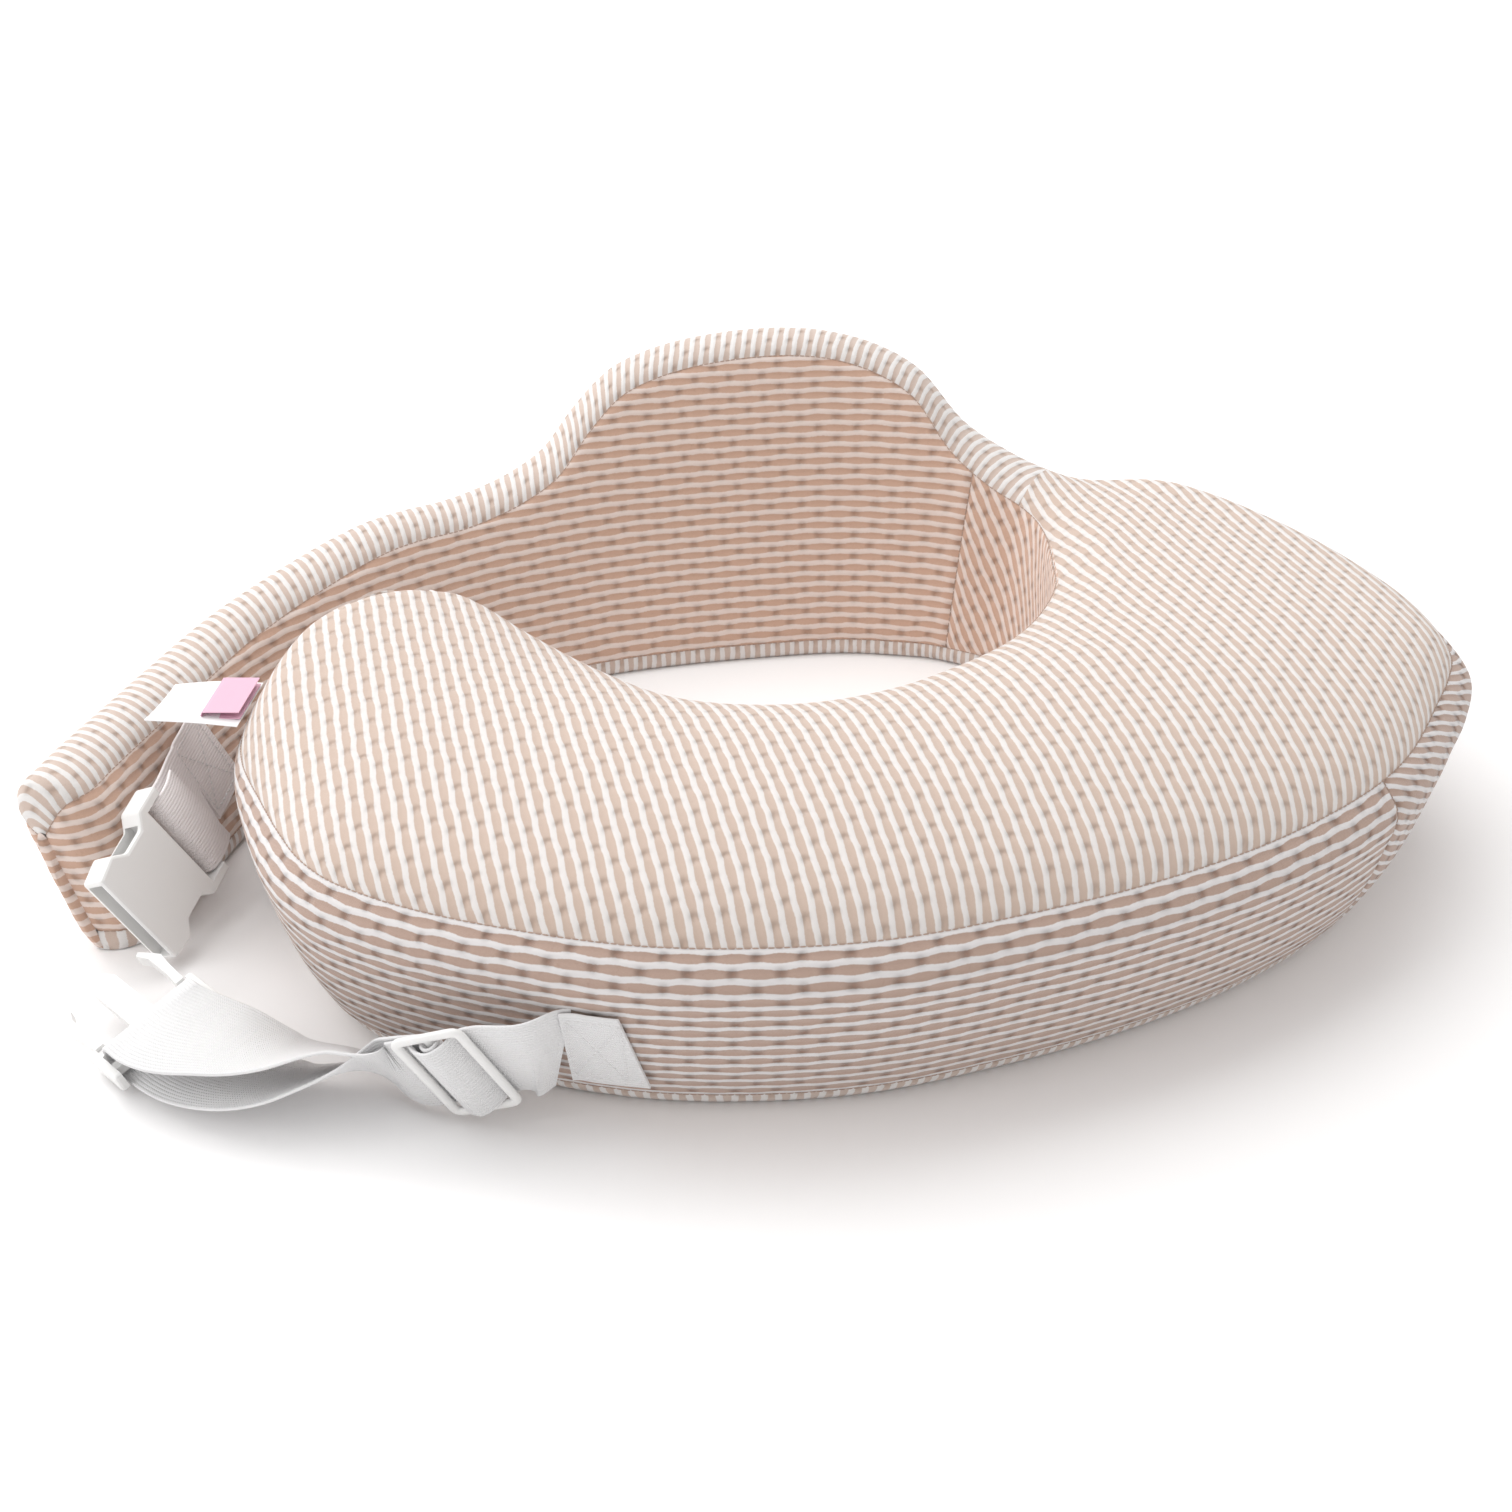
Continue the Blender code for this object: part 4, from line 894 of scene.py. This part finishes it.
def box_stitch(name, patch, outward, body):
    """A box of stitches with a cross in it, on the outer face of a sewn-on patch."""
    centre, wide, out, length = patch
    measure = lengths(centre)
    facing = 1 if out[0] @ outward > 0 else -1
    inset = 0.004

    def at(x, y):
        read = lambda rows: np.array([np.interp(y, measure, column) for column in rows.T])
        return read(centre) + read(wide) * x + read(out) * facing * (WEB_THICK / 2 + 0.0001)

    half = WEB_WIDTH / 2 - inset
    corners = [(-half, inset), (half, inset), (half, length - 0.002), (-half, length - 0.002)]
    runs = [(corners[0], corners[1]), (corners[1], corners[2]), (corners[2], corners[3]),
            (corners[3], corners[0]), (corners[0], corners[2]), (corners[1], corners[3])]
    lines = []
    for (x0, y0), (x1, y1) in runs:
        line = np.array([at(x0 + (x1 - x0) * t, y0 + (y1 - y0) * t) for t in np.linspace(0, 1, 24)])
        lines.append((line, np.repeat((out[0] * facing)[None], 24, 0)))
    stitches(name, lines, WHITE_THREAD, body, "webbing", pitch=0.0028, size=0.0003, share=0.7)


box_stitch("anchor_stitching", front_patch, np.array(off[0]), "cushion")
box_stitch("female_stitching", female_patch, np.array([1.0, -0.4, 0]), "band")


# ---------------------------------------------------------------- buckle parts, labels and zip
def soften(node, finish, width):
    """A CAD solid shown as it is, with its finish and its edges rounded by `width`."""
    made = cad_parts[node]
    made.data.materials.clear()
    made.data.materials.append(finish)
    if width:
        edge = made.modifiers.new("rounded", "BEVEL")
        edge.width = width
        edge.segments = 2
        edge.limit_method = "ANGLE"
        edge.angle_limit = math.radians(50)
        edge.harden_normals = False


for node in ("female_buckle_body", "male_buckle_body", "male_buckle_arm_near", "male_buckle_arm_far"):
    soften(node, PLASTIC, 0.0004)
for node in ("zip_slider", "zip_pull", "zip_stop_start", "zip_stop_end"):
    soften(node, METAL, 0.0002)
for node in ("zip_tape_left", "zip_tape_right", "zip_teeth"):
    soften(node, ZIP_TAPE, 0)


def adjuster():
    """A tri-glide: two thick rounded bars joined at their ends, with a slimmer bar between them."""
    place, x, y, z = GLIDE
    half_l, half_w, corner_radius = 0.0250, 0.0142, 0.003
    path = []
    for corner, (cx, cy) in enumerate(((1, 1), (-1, 1), (-1, -1), (1, -1))):
        for a in np.radians(np.linspace(0, 90, 5) + 90 * corner):
            path.append((cx * (half_l - corner_radius) + corner_radius * math.cos(a),
                         cy * (half_w - corner_radius) + corner_radius * math.sin(a)))
    path = np.array(path)
    count = len(path)
    tangent = unit(np.roll(path, -1, 0) - np.roll(path, 1, 0))
    normal = np.stack([tangent[:, 1], -tangent[:, 0]], 1)
    points, faces = [], []
    turns = 12
    for k in range(count):
        for j in range(turns):
            a = 2 * math.pi * j / turns
            flat = path[k] + normal[k] * 0.0021 * math.cos(a)
            height = 0.0017 * math.sin(a)
            points.append(place + x * flat[0] + y * flat[1] + z * height)
    for k in range(count):
        for j in range(turns):
            faces.append([k * turns + j, k * turns + (j + 1) % turns,
                          (k + 1) % count * turns + (j + 1) % turns, (k + 1) % count * turns + j])
    base = len(points)
    for px in (-half_l, half_l):
        for j in range(turns):
            a = 2 * math.pi * j / turns
            points.append(place + x * px + y * 0.0020 * math.cos(a) + z * 0.0014 * math.sin(a))
    for j in range(turns):
        faces.append([base + j, base + (j + 1) % turns, base + turns + (j + 1) % turns, base + turns + j])
    faces += [[base + j for j in range(turns)][::-1], [base + turns + j for j in range(turns)]]
    settle(make("adjuster_frame", points, faces, None, PLASTIC, 70), "buckle", "strap", "adjuster")


adjuster()


def small_sheet(name, origin, bend, width, length, finish, slot, node, body):
    """A small ribbon label out from the seam: `bend` gives its place along and its height."""
    columns, rows = 8, 24
    x, y = unit(np.array(LABEL_X, float)), unit(np.array(LABEL_Y, float))
    y = unit(y - x * (x @ y))
    z = np.cross(x, y)
    z = z if z[2] > 0 else -z
    grid = np.zeros((rows + 1, columns + 1, 3))
    uv = np.zeros((rows + 1, columns + 1, 2))
    for i in range(rows + 1):
        for j in range(columns + 1):
            u, v = j / columns, i / rows
            along_, height = bend(u, v)
            grid[i, j] = origin + x * (u - 0.5) * width + y * along_ * length + z * height
            uv[i, j] = ((u - 0.5) * width, v * length)
    normal = grid_normals(grid)
    made = skin(name, grid, uv, normal, RIBBON_THICK, finish)
    settle(made, slot, body, node)
    return made


seam_place = layout((-232.5, 14, 88))
LABEL_X, LABEL_Y = (0.10, 0.99, 0.03), (-0.99, 0.10, -0.05)


def label_wave(u, v):
    """The care label lies nearly flat, in a shallow wave with one corner lifted."""
    return v, 0.0012 * math.sin(3.4 * v) + 0.0035 * (v * (1 - u)) ** 2 - 0.0008 * u * v


care_label = small_sheet("care_label_ribbon", seam_place, label_wave, LABEL_WIDTH, LABEL_LENGTH,
                         RIBBON, "label", "care_label", "cushion")


def tab_fold(u, v):
    """Out from the seam, round a fold and back under itself."""
    s = v * 2.2
    if s < 1:
        return s * 0.95, 0.0042
    if s < 1.2:
        a = (s - 1) / 0.2 * math.pi
        return 0.95 + 0.05 * math.sin(a), 0.0028 + 0.0014 * math.cos(a)
    return (2.2 - s) * 0.95, 0.0014


side_tab = small_sheet("pink_tab", seam_place + np.array([0.0, 0.0015, 0.0]), tab_fold,
                       TAB_WIDTH, TAB_LENGTH, PINK, "tab", "side_tab", "cushion")

# ---------------------------------------------------------------- floor, light and camera
floor_mesh = bpy.data.meshes.new("floor")
floor_mesh.from_pydata([(-6, -3, 0), (6, -3, 0), (6, 9, 0), (-6, 9, 0)], [], [(0, 1, 2, 3)])
floor = bpy.data.objects.new("floor", floor_mesh)
bpy.context.scene.collection.objects.link(floor)
floor.location.z = -0.0006
paper = Nodes("paper")
cloud = paper.noise(paper.place(), 3.0)
paper.put(paper.shader.inputs["Base Color"],
          paper.mix(cloud, (0.965, 0.955, 0.955, 1), (0.975, 0.968, 0.968, 1)))
floor_mesh.materials.append(paper.finish(0.75))

world = bpy.data.worlds.new("studio")
bpy.context.scene.world = world
world.use_nodes = True
world.node_tree.nodes["Background"].inputs["Color"].default_value = (1.0, 0.995, 0.99, 1)
world.node_tree.nodes["Background"].inputs["Strength"].default_value = 0.76


def area_light(name, place, target, size, power, colour=(1, 1, 1)):
    data = bpy.data.lights.new(name, "AREA")
    data.shape = "RECTANGLE"
    data.size, data.size_y = size
    data.energy = power
    data.color = colour
    lamp = bpy.data.objects.new(name, data)
    lamp.location = place
    lamp.rotation_euler = (Vector(target) - Vector(place)).to_track_quat("-Z", "Y").to_euler()
    bpy.context.scene.collection.objects.link(lamp)


area_light("overhead", (-0.5, 1.0, 2.3), (0, 0.15, 0.05), (3.2, 2.6), 46)
area_light("back_left", (-1.6, 1.0, 1.2), (-0.1, 0.1, 0.05), (1.2, 1.2), 10)
area_light("left", (-1.5, -0.7, 1.0), (-0.25, -0.1, 0.02), (1.0, 1.0), 6)

camera_data = bpy.data.cameras.new("camera")
camera_data.lens = 50
camera_data.sensor_width = 36
camera_data.clip_start = 0.05
camera = bpy.data.objects.new("camera", camera_data)
camera.location = (-0.00715, -0.896, 0.5505)
camera.rotation_euler = (math.radians(60), 0, 0)
bpy.context.scene.collection.objects.link(camera)
bpy.context.scene.camera = camera
bpy.context.scene.view_settings.view_transform = "Standard"
